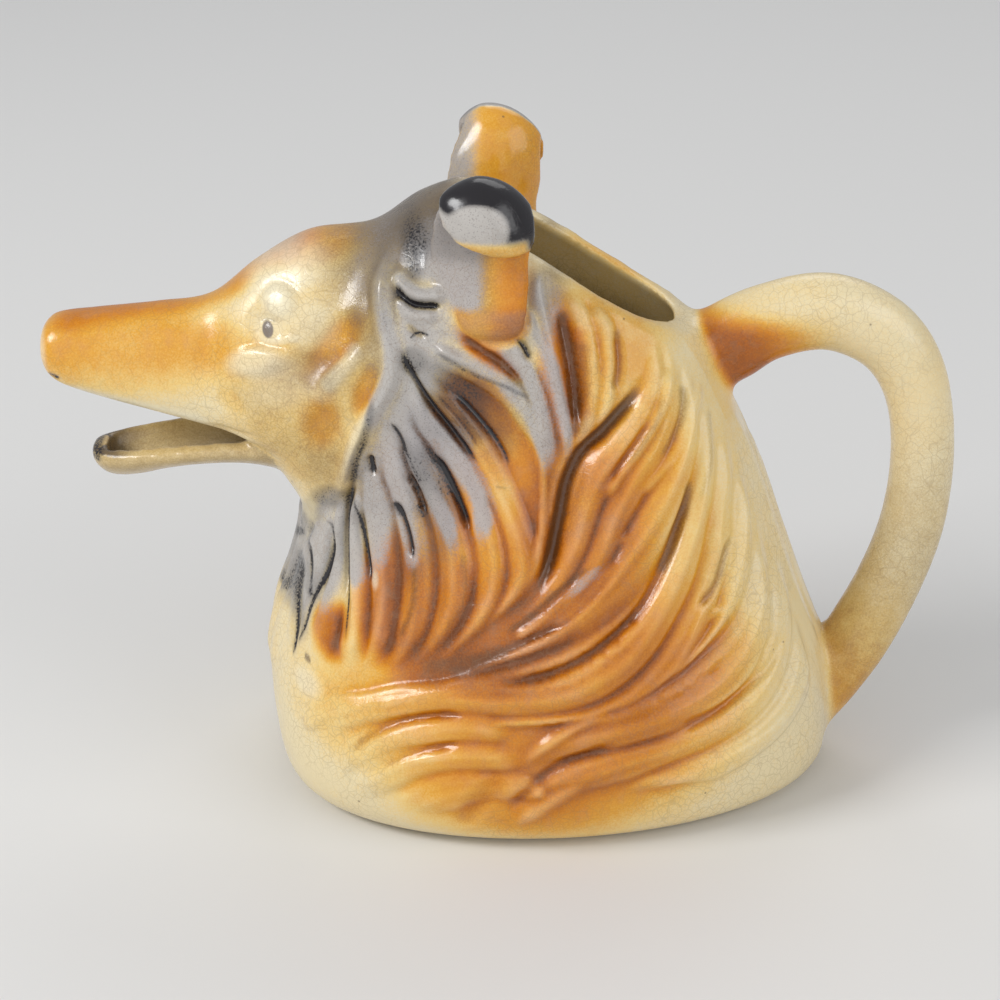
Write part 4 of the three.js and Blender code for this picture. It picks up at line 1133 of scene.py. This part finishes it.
def paint_jaw(x, z, normals, facing, outside, tint):
    """A jaw darkened to tan as painted shade under the snout, with a brown trough that darkens towards
    the tip and a black lip at its tip.
    """
    jaw = (x < JAW_X) & (z < JAW_Z) & (outside > JAW_OUT)
    lip = np.interp(-x, -JAW[:, 0], JAW[:, 2])
    turned = ((facing < TURNED_IN) | (normals[:, 2] > TURNED_UP)) & (normals[:, 2] > TURNED_DOWN)
    trough = jaw & (z < lip - BELOW_LIP) & turned
    brown = TROUGH_UMBER + TROUGH_DEEPER * fade(x, *TROUGH_BROWN)
    black = fade(x, *LIP_BLACK) * ramp(z, *LIP_BLACK_UP)
    black = black + TROUGH_SOOT * trough * fade(x, *TROUGH_BLACK)
    tint["orange"] = np.where(jaw, JAW_ORANGE, tint["orange"])
    tint["umber_and_shade"] = np.where(jaw, JAW_SHADE, tint["umber_and_shade"])
    tint["umber_and_shade"] = np.where(trough, brown, tint["umber_and_shade"])
    tint["soot_and_shadow"] = np.where(jaw, np.clip(black, 0, 1), tint["soot_and_shadow"])
    tint["pale_and_highlight"] = np.where(jaw, JAW_PALE * fade(z, lip, CHIN_FADE), tint["pale_and_highlight"])


SPRAYS = {
    "orange": (ORANGE_PATCHES, ORANGE_BANDS),
    "veil_and_reflection": (VEIL_PATCHES, VEIL_AND_REFLECTION_BANDS),
    "pale_and_highlight": (PALE_AND_HIGHLIGHT_PATCHES, PALE_AND_HIGHLIGHT_BANDS),
    "umber_and_shade": (UMBER_AND_SHADE_PATCHES, UMBER_BANDS),
    "soot_and_shadow": (SOOT_PATCHES, SOOT_BANDS + SOOT_HALOS),
}
# Which way a side, a front or a back faces, and where the chest and the nape are
SIDE_FACING, END_FACING, AWAY_FACING = 0.45, (0.1, 0.5), -0.2
CHEST_X, CHEST_Z, NAPE_X = -30, 60, 15
# The relief begins a little inside the plain body and ends before a seam
RELIEF_START, SEAM_MARGIN = (-1.6, 0.8), 0.4
# Painted shade and highlight: how far round a point the relief is compared, and what counts as a whole
# groove or crest
SHADE_REACH, WHOLE_GROOVE, WHOLE_CREST = 1.0, 0.5, 0.45
# The chest is painted from a little further back, below a height
CHEST_SHIFT, CHEST_PAINT = 3.2, (58, 6)
# How far the handle's shape and its colours reach, and how the colours of both come in
HANDLE_X, HANDLE_REACH, HANDLE_COLOURS = 14, 2.5, (4, 2.5)
HANDLE_START, EAR_START = (-0.6, 2.4), (-0.3, 1.8)
# The inside: from what depth on, its plain colours, and a brown of painted shade that deepens below
# the rim
INSIDE_DEPTH = (2.7, 0.5)
INSIDE_COLOURS = {"orange": 0.16, "veil_and_reflection": 0, "soot_and_shadow": 0, "pale_and_highlight": 0}
INSIDE_SHADE, INSIDE_SHADE_DEEPER, INSIDE_RIM = 0.08, 0.32, (4, 5)


def finish_clay(mesh, tree):
    """Carves the locks and works out what each point is painted with."""
    points, _ = read_mesh(mesh)
    normals = vertex_normals(mesh, points)
    x, y, z = points.T
    outside = distance_outside(points, tree)
    place, beyond = handle_place(points)
    facing = normals[:, 1] * np.sign(y)
    piece = np.full(len(points), BODY)
    piece[(outside > SEAM) & (beyond < HANDLE_REACH) & (x > HANDLE_X)] = HANDLE_PIECE
    ears = near_ears(points) & (outside > SEAM)
    piece[ears & (y < 0)] = EAR_LEFT
    piece[ears & (y > 0)] = EAR_RIGHT

    sideways = smooth(facing / SIDE_FACING)
    ahead = (1 - sideways) * ramp(-normals[:, 0], *END_FACING) * (x < CHEST_X) * (z < CHEST_Z)
    behind = (1 - sideways) * ramp(normals[:, 0], *END_FACING) * (x > NAPE_X)
    outer = ramp(outside, *RELIEF_START) * smooth((SEAM - outside) / SEAM + SEAM_MARGIN)
    outer = outer * (facing > AWAY_FACING)
    carved = side_relief()
    height = sample(carved, x, z) * sideways
    height += sample(end_relief(CHEST_LOCKS, CHEST_SEED), np.abs(y), z) * ahead
    height += sample(end_relief(NAPE_LOCKS, NAPE_SEED), np.abs(y), z) * behind
    height *= outer * (piece == BODY)
    # How far the relief lies below its surroundings: painted shade for the grooves and painted
    # highlight for the crests
    hollow = blur(carved, SHADE_REACH) - carved
    shade = sample(hollow, x, z) * sideways * outer * (piece == BODY)

    tint = {}
    painted_x = x + CHEST_SHIFT * ahead * fade(z, *CHEST_PAINT)
    for name, (patches, bands) in SPRAYS.items():
        tint[name] = sample(spray(patches, bands), painted_x, z)
    paint_jaw(x, z, normals, facing, outside, tint)
    for which in (HANDLE_PIECE, EAR_LEFT, EAR_RIGHT):
        own = {}
        if which == HANDLE_PIECE:
            mine = (beyond < HANDLE_COLOURS[0]) & (x > HANDLE_X)
            share = ramp(outside[mine], *HANDLE_START) * fade(beyond[mine], *HANDLE_COLOURS)
            paint_handle(x[mine], z[mine], place[mine], own)
        else:
            side = -1 if which == EAR_LEFT else 1
            mine = near_ears(points) & (y * side > 0) & (outside > EAR_START[0])
            share = ramp(outside[mine], *EAR_START)
            paint_ear(x[mine], y[mine], z[mine], normals[mine], side, own)
        for name, values in own.items():
            tint[name][mine] += share * (values - tint[name][mine])
    inside = ramp(-outside, *INSIDE_DEPTH) * (piece == BODY)
    rim = sample(rim_map(), x, z)
    for name, plain in INSIDE_COLOURS.items():
        tint[name] += inside * (plain - tint[name])
    # Painted shade inside the creamer, darker further below the rim
    brown = INSIDE_SHADE + INSIDE_SHADE_DEEPER * ramp(rim, *INSIDE_RIM)
    tint["umber_and_shade"] += inside * (brown - tint["umber_and_shade"])
    groove = np.clip(shade / WHOLE_GROOVE, 0, 1)
    crest = np.clip(-shade / WHOLE_CREST, 0, 1)
    points = points + normals * height[:, None]
    paint = np.column_stack([tint[name] for name in ("orange", "veil_and_reflection", "pale_and_highlight", "umber_and_shade")])
    # The smoke layer holds the soot, then the painted shade of the grooves and the painted highlight
    # of the crests
    smoke = np.column_stack([tint["soot_and_shadow"], groove, crest, np.ones(len(points))])
    return points, vertex_normals(mesh, points), piece, {"paint": paint, "smoke": smoke}


def rim_map():
    """Distance from the line along which the mouth was cut."""
    values = np.full((COUNT_X, COUNT_Z), RIM_FAR)
    window, distance, _ = near_path(MOUTH_LINE[:RIM_POINTS], RIM_FAR)
    values[window] = np.minimum(distance, RIM_FAR)
    return values


def close_seams(shape, normals):
    """Closes a piece at its seams, by a collar turned into the clay with a cap behind it."""
    shape.verts.ensure_lookup_table()
    rim = [edge for edge in shape.edges if edge.is_boundary]
    made = bmesh.ops.extrude_edge_only(shape, edges=rim)["geom"]
    inner = {vertex for vertex in made if isinstance(vertex, bmesh.types.BMVert)}
    for vertex in inner:
        outer = next(edge.other_vert(vertex) for edge in vertex.link_edges
                     if edge.other_vert(vertex) not in inner)
        vertex.co -= Vector(normals[outer.index]) * COLLAR * MM
    rim = [edge for edge in shape.edges if edge.is_boundary]
    bmesh.ops.holes_fill(shape, edges=rim, sides=0)


def part_clay(mesh, points, normals, piece, layers):
    """Parts the clay into closed pieces along its seams."""
    corners = np.empty(len(mesh.polygons) * 3, np.int32)
    mesh.loops.foreach_get("vertex_index", corners)
    corners = corners.reshape(-1, 3)
    owner = piece[corners].max(1)
    made = {}
    for which, (node_name, *_) in BLUEPRINT.items():
        used, index = np.unique(corners[owner == which], return_inverse=True)
        places = (points[used] + (SHIFT, 0, 0)) * MM
        result = new_object(node_name + "_glazed", places, index.reshape(-1, 3).tolist())
        for label, values in layers.items():
            layer = result.data.color_attributes.new(label, "FLOAT_COLOR", "POINT")
            layer.data.foreach_set("color", values[used].astype(np.float32).ravel())
        shape = bmesh.new()
        shape.from_mesh(result.data)
        close_seams(shape, normals[used])
        shape.to_mesh(result.data)
        shape.free()
        result.data.shade_smooth()
        whole = np.zeros((len(result.data.vertices), 3))
        whole[:len(used)] = normals[used]
        result.data.normals_split_custom_set_from_vertices(whole.tolist())
        made[which] = result
    return made


def make_pieces():
    clay = build_clay()
    mesh = clay.data
    tree = skin_tree()
    smooth_clay(mesh, tree)
    refine_clay(mesh)
    made = part_clay(mesh, *finish_clay(mesh, tree))
    bpy.data.objects.remove(clay)
    return made


pieces = make_pieces()


# Glaze
CREAM_TO_BROWN = [
    (0.0, (0.75, 0.63, 0.38)),
    (0.22, (0.78, 0.54, 0.185)),
    (0.42, (0.70, 0.34, 0.036)),
    (0.62, (0.58, 0.20, 0.006)),
    (0.82, (0.38, 0.10, 0.002)),
    (1.0, (0.17, 0.042, 0.002)),
]
# Besides the glaze's own colours, the pale cream paints highlights, the lavender grey reflections, the
# browns shade, and the black shade and shadow
PALE_AND_HIGHLIGHT_CREAM = (0.83, 0.77, 0.58, 1)
LAVENDER_GREY_AND_REFLECTION = (0.40, 0.385, 0.385, 1)
UMBER_AND_SHADE_BROWN = (0.115, 0.072, 0.042, 1)
WARM_UMBER_AND_SHADE_BROWN = (0.13, 0.045, 0.009, 1)
# Pink of a painted reflection of the light on the orange crests
CREST_REFLECTION_PINK = (0.84, 0.47, 0.26, 1)
SOOT_AND_SHADE_BLACK = (0.018, 0.016, 0.018, 1)
CRACK = (0.23, 0.14, 0.07, 1)
PIT = (0.13, 0.08, 0.04, 1)
EYE = (0.12, 0.105, 0.115, 1)
# Patterns: scale and detail
CLOUD, MOTTLE, GRAIN, SPATTER = (75, 3), (380, 4), (3200, 2), (2600, 3)
PEPPER, WARP, CRAZE_PATCHES, WAVES = (4200, 1), (260.0, 2.0), (45, 2.0), (650, 2.0)
PIT_PATCHES, PIT_SCALE = (140, 0), 230.0
# How strongly the patterns break up each colour
ORANGE_CLOUD, ORANGE_MOTTLE, ORANGE_GRAIN, PALE_MOTTLE = 0.22, 0.2, 0.26, 0.3
UMBER_MOTTLE, UMBER_GRAIN, VEIL_MOTTLE, VEIL_GRAIN, SOOT_MOTTLE = 0.25, 0.3, 0.3, 0.55, 0.2
# What the grooves and the crests add to a colour: painted shade in the grooves, and painted highlight
# and reflection on the crests; the deeper orange in the grooves is also how the spray lies
GROOVE_ORANGE, CREST_ORANGE, GROOVE_SHADE_BROWN = 0.27, -0.2, 0.6
CREST_REFLECTION_GREY, GROOVE_SHADE_VEIL, GROOVE_SHADE_BLACK, GROOVE_SHADE_ON_SOOT = 0.3, -0.75, 0.2, 0.4
# The most that each colour covers
PALE_COVER, UMBER_COVER, VEIL_COVER, SOOT_COVER, PEPPER_COVER = 0.85, 0.9, 0.88, 0.55, 0.3
EYE_COVER, CRACK_COVER, PIT_COVER = 0.85, 0.3, 0.6
# Values over which a colour, or the share of one, comes in
SHADED, REFLECTION_ON_ORANGE, REFLECTION_SHARE = (0.1, 0.5), (0.15, 0.5), (0.4, 0.65, 0.1, 0.45)
WARMED, UMBER_SPAN, VEIL_SPAN, SOOT_SPAN = (0.3, 0.7), (0.05, 0.95), (0.15, 0.85), (0.1, 0.9)
SPECK_SPAN, PEPPER_SPAN, CRAZED, SOOT_FREE = (0.72, 1.15), (0.56, 0.7), (0.34, 0.6), (0.8, 0.2)
PIT_SPAN, PITTED, ROUGHENED = (0.07, 0.035), (0.60, 0.64), (0.3, 0.7)
# The eye: x, z and reaches in millimetres, and its soft edge
EYE_X, EYE_Z, EYE_REACH_X, EYE_REACH_Z, EYE_EDGE = -48.5, 84.4, 0.95, 1.25, (1.3, 0.7)
# Crazing: how far its lines are bent, and the scale, width and strength of each net
BEND = (0.0016, 0.0016, 0.0016)
NETS = [(520.0, 0.06, 0.9), (980.0, 0.075, 0.6)]
# The surface: how much rougher it gets, what raises and lowers it, and how strongly
ROUGHER, WAVE_HEIGHT, CRACK_HEIGHT, PIT_HEIGHT = 0.1, 0.7, -0.25, -1.5
BUMP_STRENGTH, BUMP_DISTANCE, GLAZE_IOR = 0.35, 0.00012, 1.5


def glaze_material(name, rough, speckle):
    """Sprayed colours under a crazed glaze, with painted shade in the grooves and painted highlights
    on the crests, mixed from the paint that the points carry.
    """
    material = bpy.data.materials.new(name)
    material.use_nodes = True
    tree = material.node_tree
    tree.nodes.clear()

    def add(kind, settings=None, inputs=None):
        node = tree.nodes.new(kind)
        for key, value in (settings or {}).items():
            setattr(node, key, value)
        for key, value in (inputs or {}).items():
            if isinstance(value, bpy.types.NodeSocket):
                tree.links.new(value, node.inputs[key])
            else:
                node.inputs[key].default_value = value
        return node

    def calculate(operation, a, b=0.0, clamp=False):
        settings = {"operation": operation, "use_clamp": clamp}
        return add("ShaderNodeMath", settings, {0: a, 1: b}).outputs[0]

    def plus(a, b, clamp=False):
        return calculate("ADD", a, b, clamp)

    def times(a, b):
        return calculate("MULTIPLY", a, b)

    def vary(value, pattern, amount):
        """Adds a pattern that runs from 0 to 1, centred, to a value."""
        return plus(value, times(plus(pattern, -0.5), amount))

    def mix(factor, a, b):
        inputs = {"Factor": factor, "A": a, "B": b}
        return add("ShaderNodeMix", {"data_type": "RGBA"}, inputs).outputs["Result"]

    def span(value, low, high, to_low=0.0, to_high=1.0):
        inputs = {"Value": value, "From Min": low, "From Max": high}
        inputs.update({"To Min": to_low, "To Max": to_high})
        return add("ShaderNodeMapRange", {"interpolation_type": "SMOOTHSTEP"}, inputs).outputs[0]

    def channels(attribute):
        node = add("ShaderNodeAttribute", {"attribute_name": attribute})
        split = add("ShaderNodeSeparateColor", {}, {"Color": node.outputs["Color"]})
        return (*split.outputs, node.outputs["Alpha"])

    place = add("ShaderNodeTexCoord").outputs["Object"]

    def noise(scale, detail):
        inputs = {"Vector": place, "Scale": scale, "Detail": detail}
        return add("ShaderNodeTexNoise", {}, inputs).outputs["Fac"]

    orange, veil_and_reflection, pale_and_highlight, umber_and_shade = channels("paint")
    soot_and_shadow, groove, crest, _ = channels("smoke")
    cloud = noise(*CLOUD)
    mottle = noise(*MOTTLE)
    grain = noise(*GRAIN)
    spatter = noise(*SPATTER)

    # Orange, deeper in the grooves and thinner on the crests, partly as the spray lies and partly as
    # painted shade in the grooves and painted light on the crests, and broken by the grain of the
    # spray
    depth = vary(orange, cloud, ORANGE_CLOUD)
    depth = vary(depth, mottle, ORANGE_MOTTLE)
    depth = vary(depth, grain, ORANGE_GRAIN)
    shade = plus(times(groove, GROOVE_ORANGE), times(crest, CREST_ORANGE))
    depth = plus(depth, times(shade, span(orange, *SHADED)), True)
    colours = add("ShaderNodeValToRGB", {}, {"Fac": depth})
    stops = colours.color_ramp.elements
    for k, (position, colour) in enumerate(CREAM_TO_BROWN):
        stop = stops[k] if k < 2 else stops.new(position)
        stop.position = position
        stop.color = (*colour, 1)
    # A pink painted reflection of the light on the crests, where they are orange
    crest_reflection = times(times(crest, span(orange, *REFLECTION_ON_ORANGE)), span(cloud, *REFLECTION_SHARE))
    colour = mix(crest_reflection, colours.outputs["Color"], CREST_REFLECTION_PINK)
    colour = mix(times(vary(pale_and_highlight, mottle, PALE_MOTTLE), PALE_COVER), colour, PALE_AND_HIGHLIGHT_CREAM)

    # Thin brown, warm where it lies on orange, and deeper in the grooves under the veil as painted
    # shade
    brown = plus(umber_and_shade, times(times(groove, veil_and_reflection), GROOVE_SHADE_BROWN))
    brown = vary(vary(brown, mottle, UMBER_MOTTLE), grain, UMBER_GRAIN)
    umber_and_shade_colour = mix(span(orange, *WARMED), UMBER_AND_SHADE_BROWN, WARM_UMBER_AND_SHADE_BROWN)
    colour = mix(times(span(brown, *UMBER_SPAN), UMBER_COVER), colour, umber_and_shade_colour)

    # A grey veil with ragged sprayed borders, thicker on the crests as a painted reflection and
    # thinner in the grooves as painted shade
    reflection_on_crests = times(times(crest, veil_and_reflection), CREST_REFLECTION_GREY)
    grey = plus(veil_and_reflection, plus(reflection_on_crests, times(times(groove, veil_and_reflection), GROOVE_SHADE_VEIL)))
    grey = vary(vary(grey, mottle, VEIL_MOTTLE), grain, VEIL_GRAIN)
    colour = mix(times(span(grey, *VEIL_SPAN), VEIL_COVER), colour, LAVENDER_GREY_AND_REFLECTION)

    # Black smoke, broken into specks, with finer specks all over the veil, and more black in the
    # grooves as painted shade
    smoke = plus(vary(soot_and_shadow, mottle, SOOT_MOTTLE), times(times(groove, veil_and_reflection), GROOVE_SHADE_BLACK))
    smoke = plus(smoke, times(times(groove, soot_and_shadow), GROOVE_SHADE_ON_SOOT))
    colour = mix(times(span(smoke, *SOOT_SPAN), SOOT_COVER), colour, SOOT_AND_SHADE_BLACK)
    colour = mix(span(vary(smoke, spatter, speckle), *SPECK_SPAN), colour, SOOT_AND_SHADE_BLACK)
    pepper = span(noise(*PEPPER), *PEPPER_SPAN)
    pepper = times(pepper, times(plus(veil_and_reflection, umber_and_shade, True), PEPPER_COVER))
    colour = mix(pepper, colour, SOOT_AND_SHADE_BLACK)

    # The eye, painted
    where = add("ShaderNodeSeparateXYZ", {}, {"Vector": place})
    across = calculate("DIVIDE", plus(where.outputs[0], -(EYE_X + SHIFT) * MM), EYE_REACH_X * MM)
    up = calculate("DIVIDE", plus(where.outputs[2], -EYE_Z * MM), EYE_REACH_Z * MM)
    spot = span(plus(times(across, across), times(up, up)), *EYE_EDGE)
    colour = mix(times(spot, EYE_COVER), colour, EYE)

    # Crazing, which fades in and out over the surface
    warp = add("ShaderNodeTexNoise", {}, {"Vector": place, "Scale": WARP[0], "Detail": WARP[1]})
    inputs = {0: warp.outputs["Color"], 1: BEND, 2: place}
    bent = add("ShaderNodeVectorMath", {"operation": "MULTIPLY_ADD"}, inputs).outputs[0]
    crazing = None
    for scale, width, strength in NETS:
        inputs = {"Vector": bent, "Scale": scale}
        cell = add("ShaderNodeTexVoronoi", {"feature": "DISTANCE_TO_EDGE"}, inputs)
        crack = times(span(cell.outputs["Distance"], width, 0.0), strength)
        crazing = crack if crazing is None else calculate("MAXIMUM", crazing, crack)
    crazing = times(crazing, span(noise(*CRAZE_PATCHES), *CRAZED))
    colour = mix(times(times(crazing, span(soot_and_shadow, *SOOT_FREE)), CRACK_COVER), colour, CRACK)

    # Pits
    cell = add("ShaderNodeTexVoronoi", {}, {"Vector": place, "Scale": PIT_SCALE})
    pits = times(span(cell.outputs["Distance"], *PIT_SPAN), span(noise(*PIT_PATCHES), *PITTED))
    colour = mix(times(pits, PIT_COVER), colour, PIT)

    roughness = span(mottle, *ROUGHENED, rough, rough + ROUGHER)
    height = plus(times(noise(*WAVES), WAVE_HEIGHT), times(crazing, CRACK_HEIGHT))
    height = plus(height, times(pits, PIT_HEIGHT))
    bump = add("ShaderNodeBump", {}, {
        "Strength": BUMP_STRENGTH, "Distance": BUMP_DISTANCE, "Height": height})
    shader = add("ShaderNodeBsdfPrincipled", {}, {
        "Base Color": colour, "Roughness": roughness, "IOR": GLAZE_IOR,
        "Normal": bump.outputs[0]})
    add("ShaderNodeOutputMaterial", {}, {"Surface": shader.outputs[0]})
    return material


for which, (node_name, slot, rough, speckle) in BLUEPRINT.items():
    piece = pieces[which]
    piece.data.materials.append(glaze_material(node_name + "_glaze", rough, speckle))
    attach(piece, "root")
    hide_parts(node_name)

# Floor
FLOOR_HALF = 3.0
FLOOR_COLOUR = (0.72, 0.71, 0.69, 1)
FLOOR_ROUGHNESS = 0.6
corners = np.array([(-1, -1, 0), (1, -1, 0), (1, 1, 0), (-1, 1, 0)]) * FLOOR_HALF
floor = new_object("floor", corners, [(0, 1, 2, 3)])
paper = bpy.data.materials.new("paper")
paper.use_nodes = True
coat = paper.node_tree.nodes["Principled BSDF"]
coat.inputs["Base Color"].default_value = FLOOR_COLOUR
coat.inputs["Roughness"].default_value = FLOOR_ROUGHNESS
floor.data.materials.append(paper)

# Light: the sky, and lamps with a name, a place, a size in metres and a power
SKY_COLOUR = (0.92, 0.95, 1, 1)
SKY_STRENGTH = 0.42
LAMP_AIM = (0, 0, 0.05)
LAMPS = [
    ("key", (-0.8, -0.35, 0.75), (0.45, 0.35), 7.0),
    ("front", (-0.25, -1.2, 0.55), (1.8, 1.4), 4.8),
    ("fill", (0.9, -0.6, 0.6), (0.9, 0.8), 4.4),
    ("back", (0.2, 0.7, 0.8), (0.7, 0.5), 1.6),
]
world = bpy.data.worlds.new("studio")
world.use_nodes = True
sky = world.node_tree.nodes["Background"]
sky.inputs["Color"].default_value = SKY_COLOUR
sky.inputs["Strength"].default_value = SKY_STRENGTH
bpy.context.scene.world = world
for name, location, size, power in LAMPS:
    light = bpy.data.lights.new(name, "AREA")
    light.shape = "RECTANGLE"
    light.size, light.size_y = size
    light.energy = power
    lamp = bpy.data.objects.new(name, light)
    lamp.location = location
    towards = Vector(LAMP_AIM) - Vector(location)
    lamp.rotation_euler = towards.to_track_quat("-Z", "Y").to_euler()
    bpy.context.scene.collection.objects.link(lamp)

# Camera
CAMERA_AIM = Vector((-0.59, 0, 48.3)) * MM
CAMERA_DISTANCE = 430 * MM
CAMERA_ELEVATION = math.radians(25)
CAMERA_LENS = 88.55
CAMERA_SENSOR = 36
CAMERA_CLIP = 0.01
camera_data = bpy.data.cameras.new("camera")
camera_data.lens = CAMERA_LENS
camera_data.sensor_width = CAMERA_SENSOR
camera_data.clip_start = CAMERA_CLIP
camera = bpy.data.objects.new("camera", camera_data)
away = Vector((0, -math.cos(CAMERA_ELEVATION), math.sin(CAMERA_ELEVATION)))
camera.location = CAMERA_AIM + CAMERA_DISTANCE * away
camera.rotation_euler = (-away).to_track_quat("-Z", "Y").to_euler()
bpy.context.scene.collection.objects.link(camera)
bpy.context.scene.camera = camera
bpy.context.scene.view_settings.view_transform = "Standard"
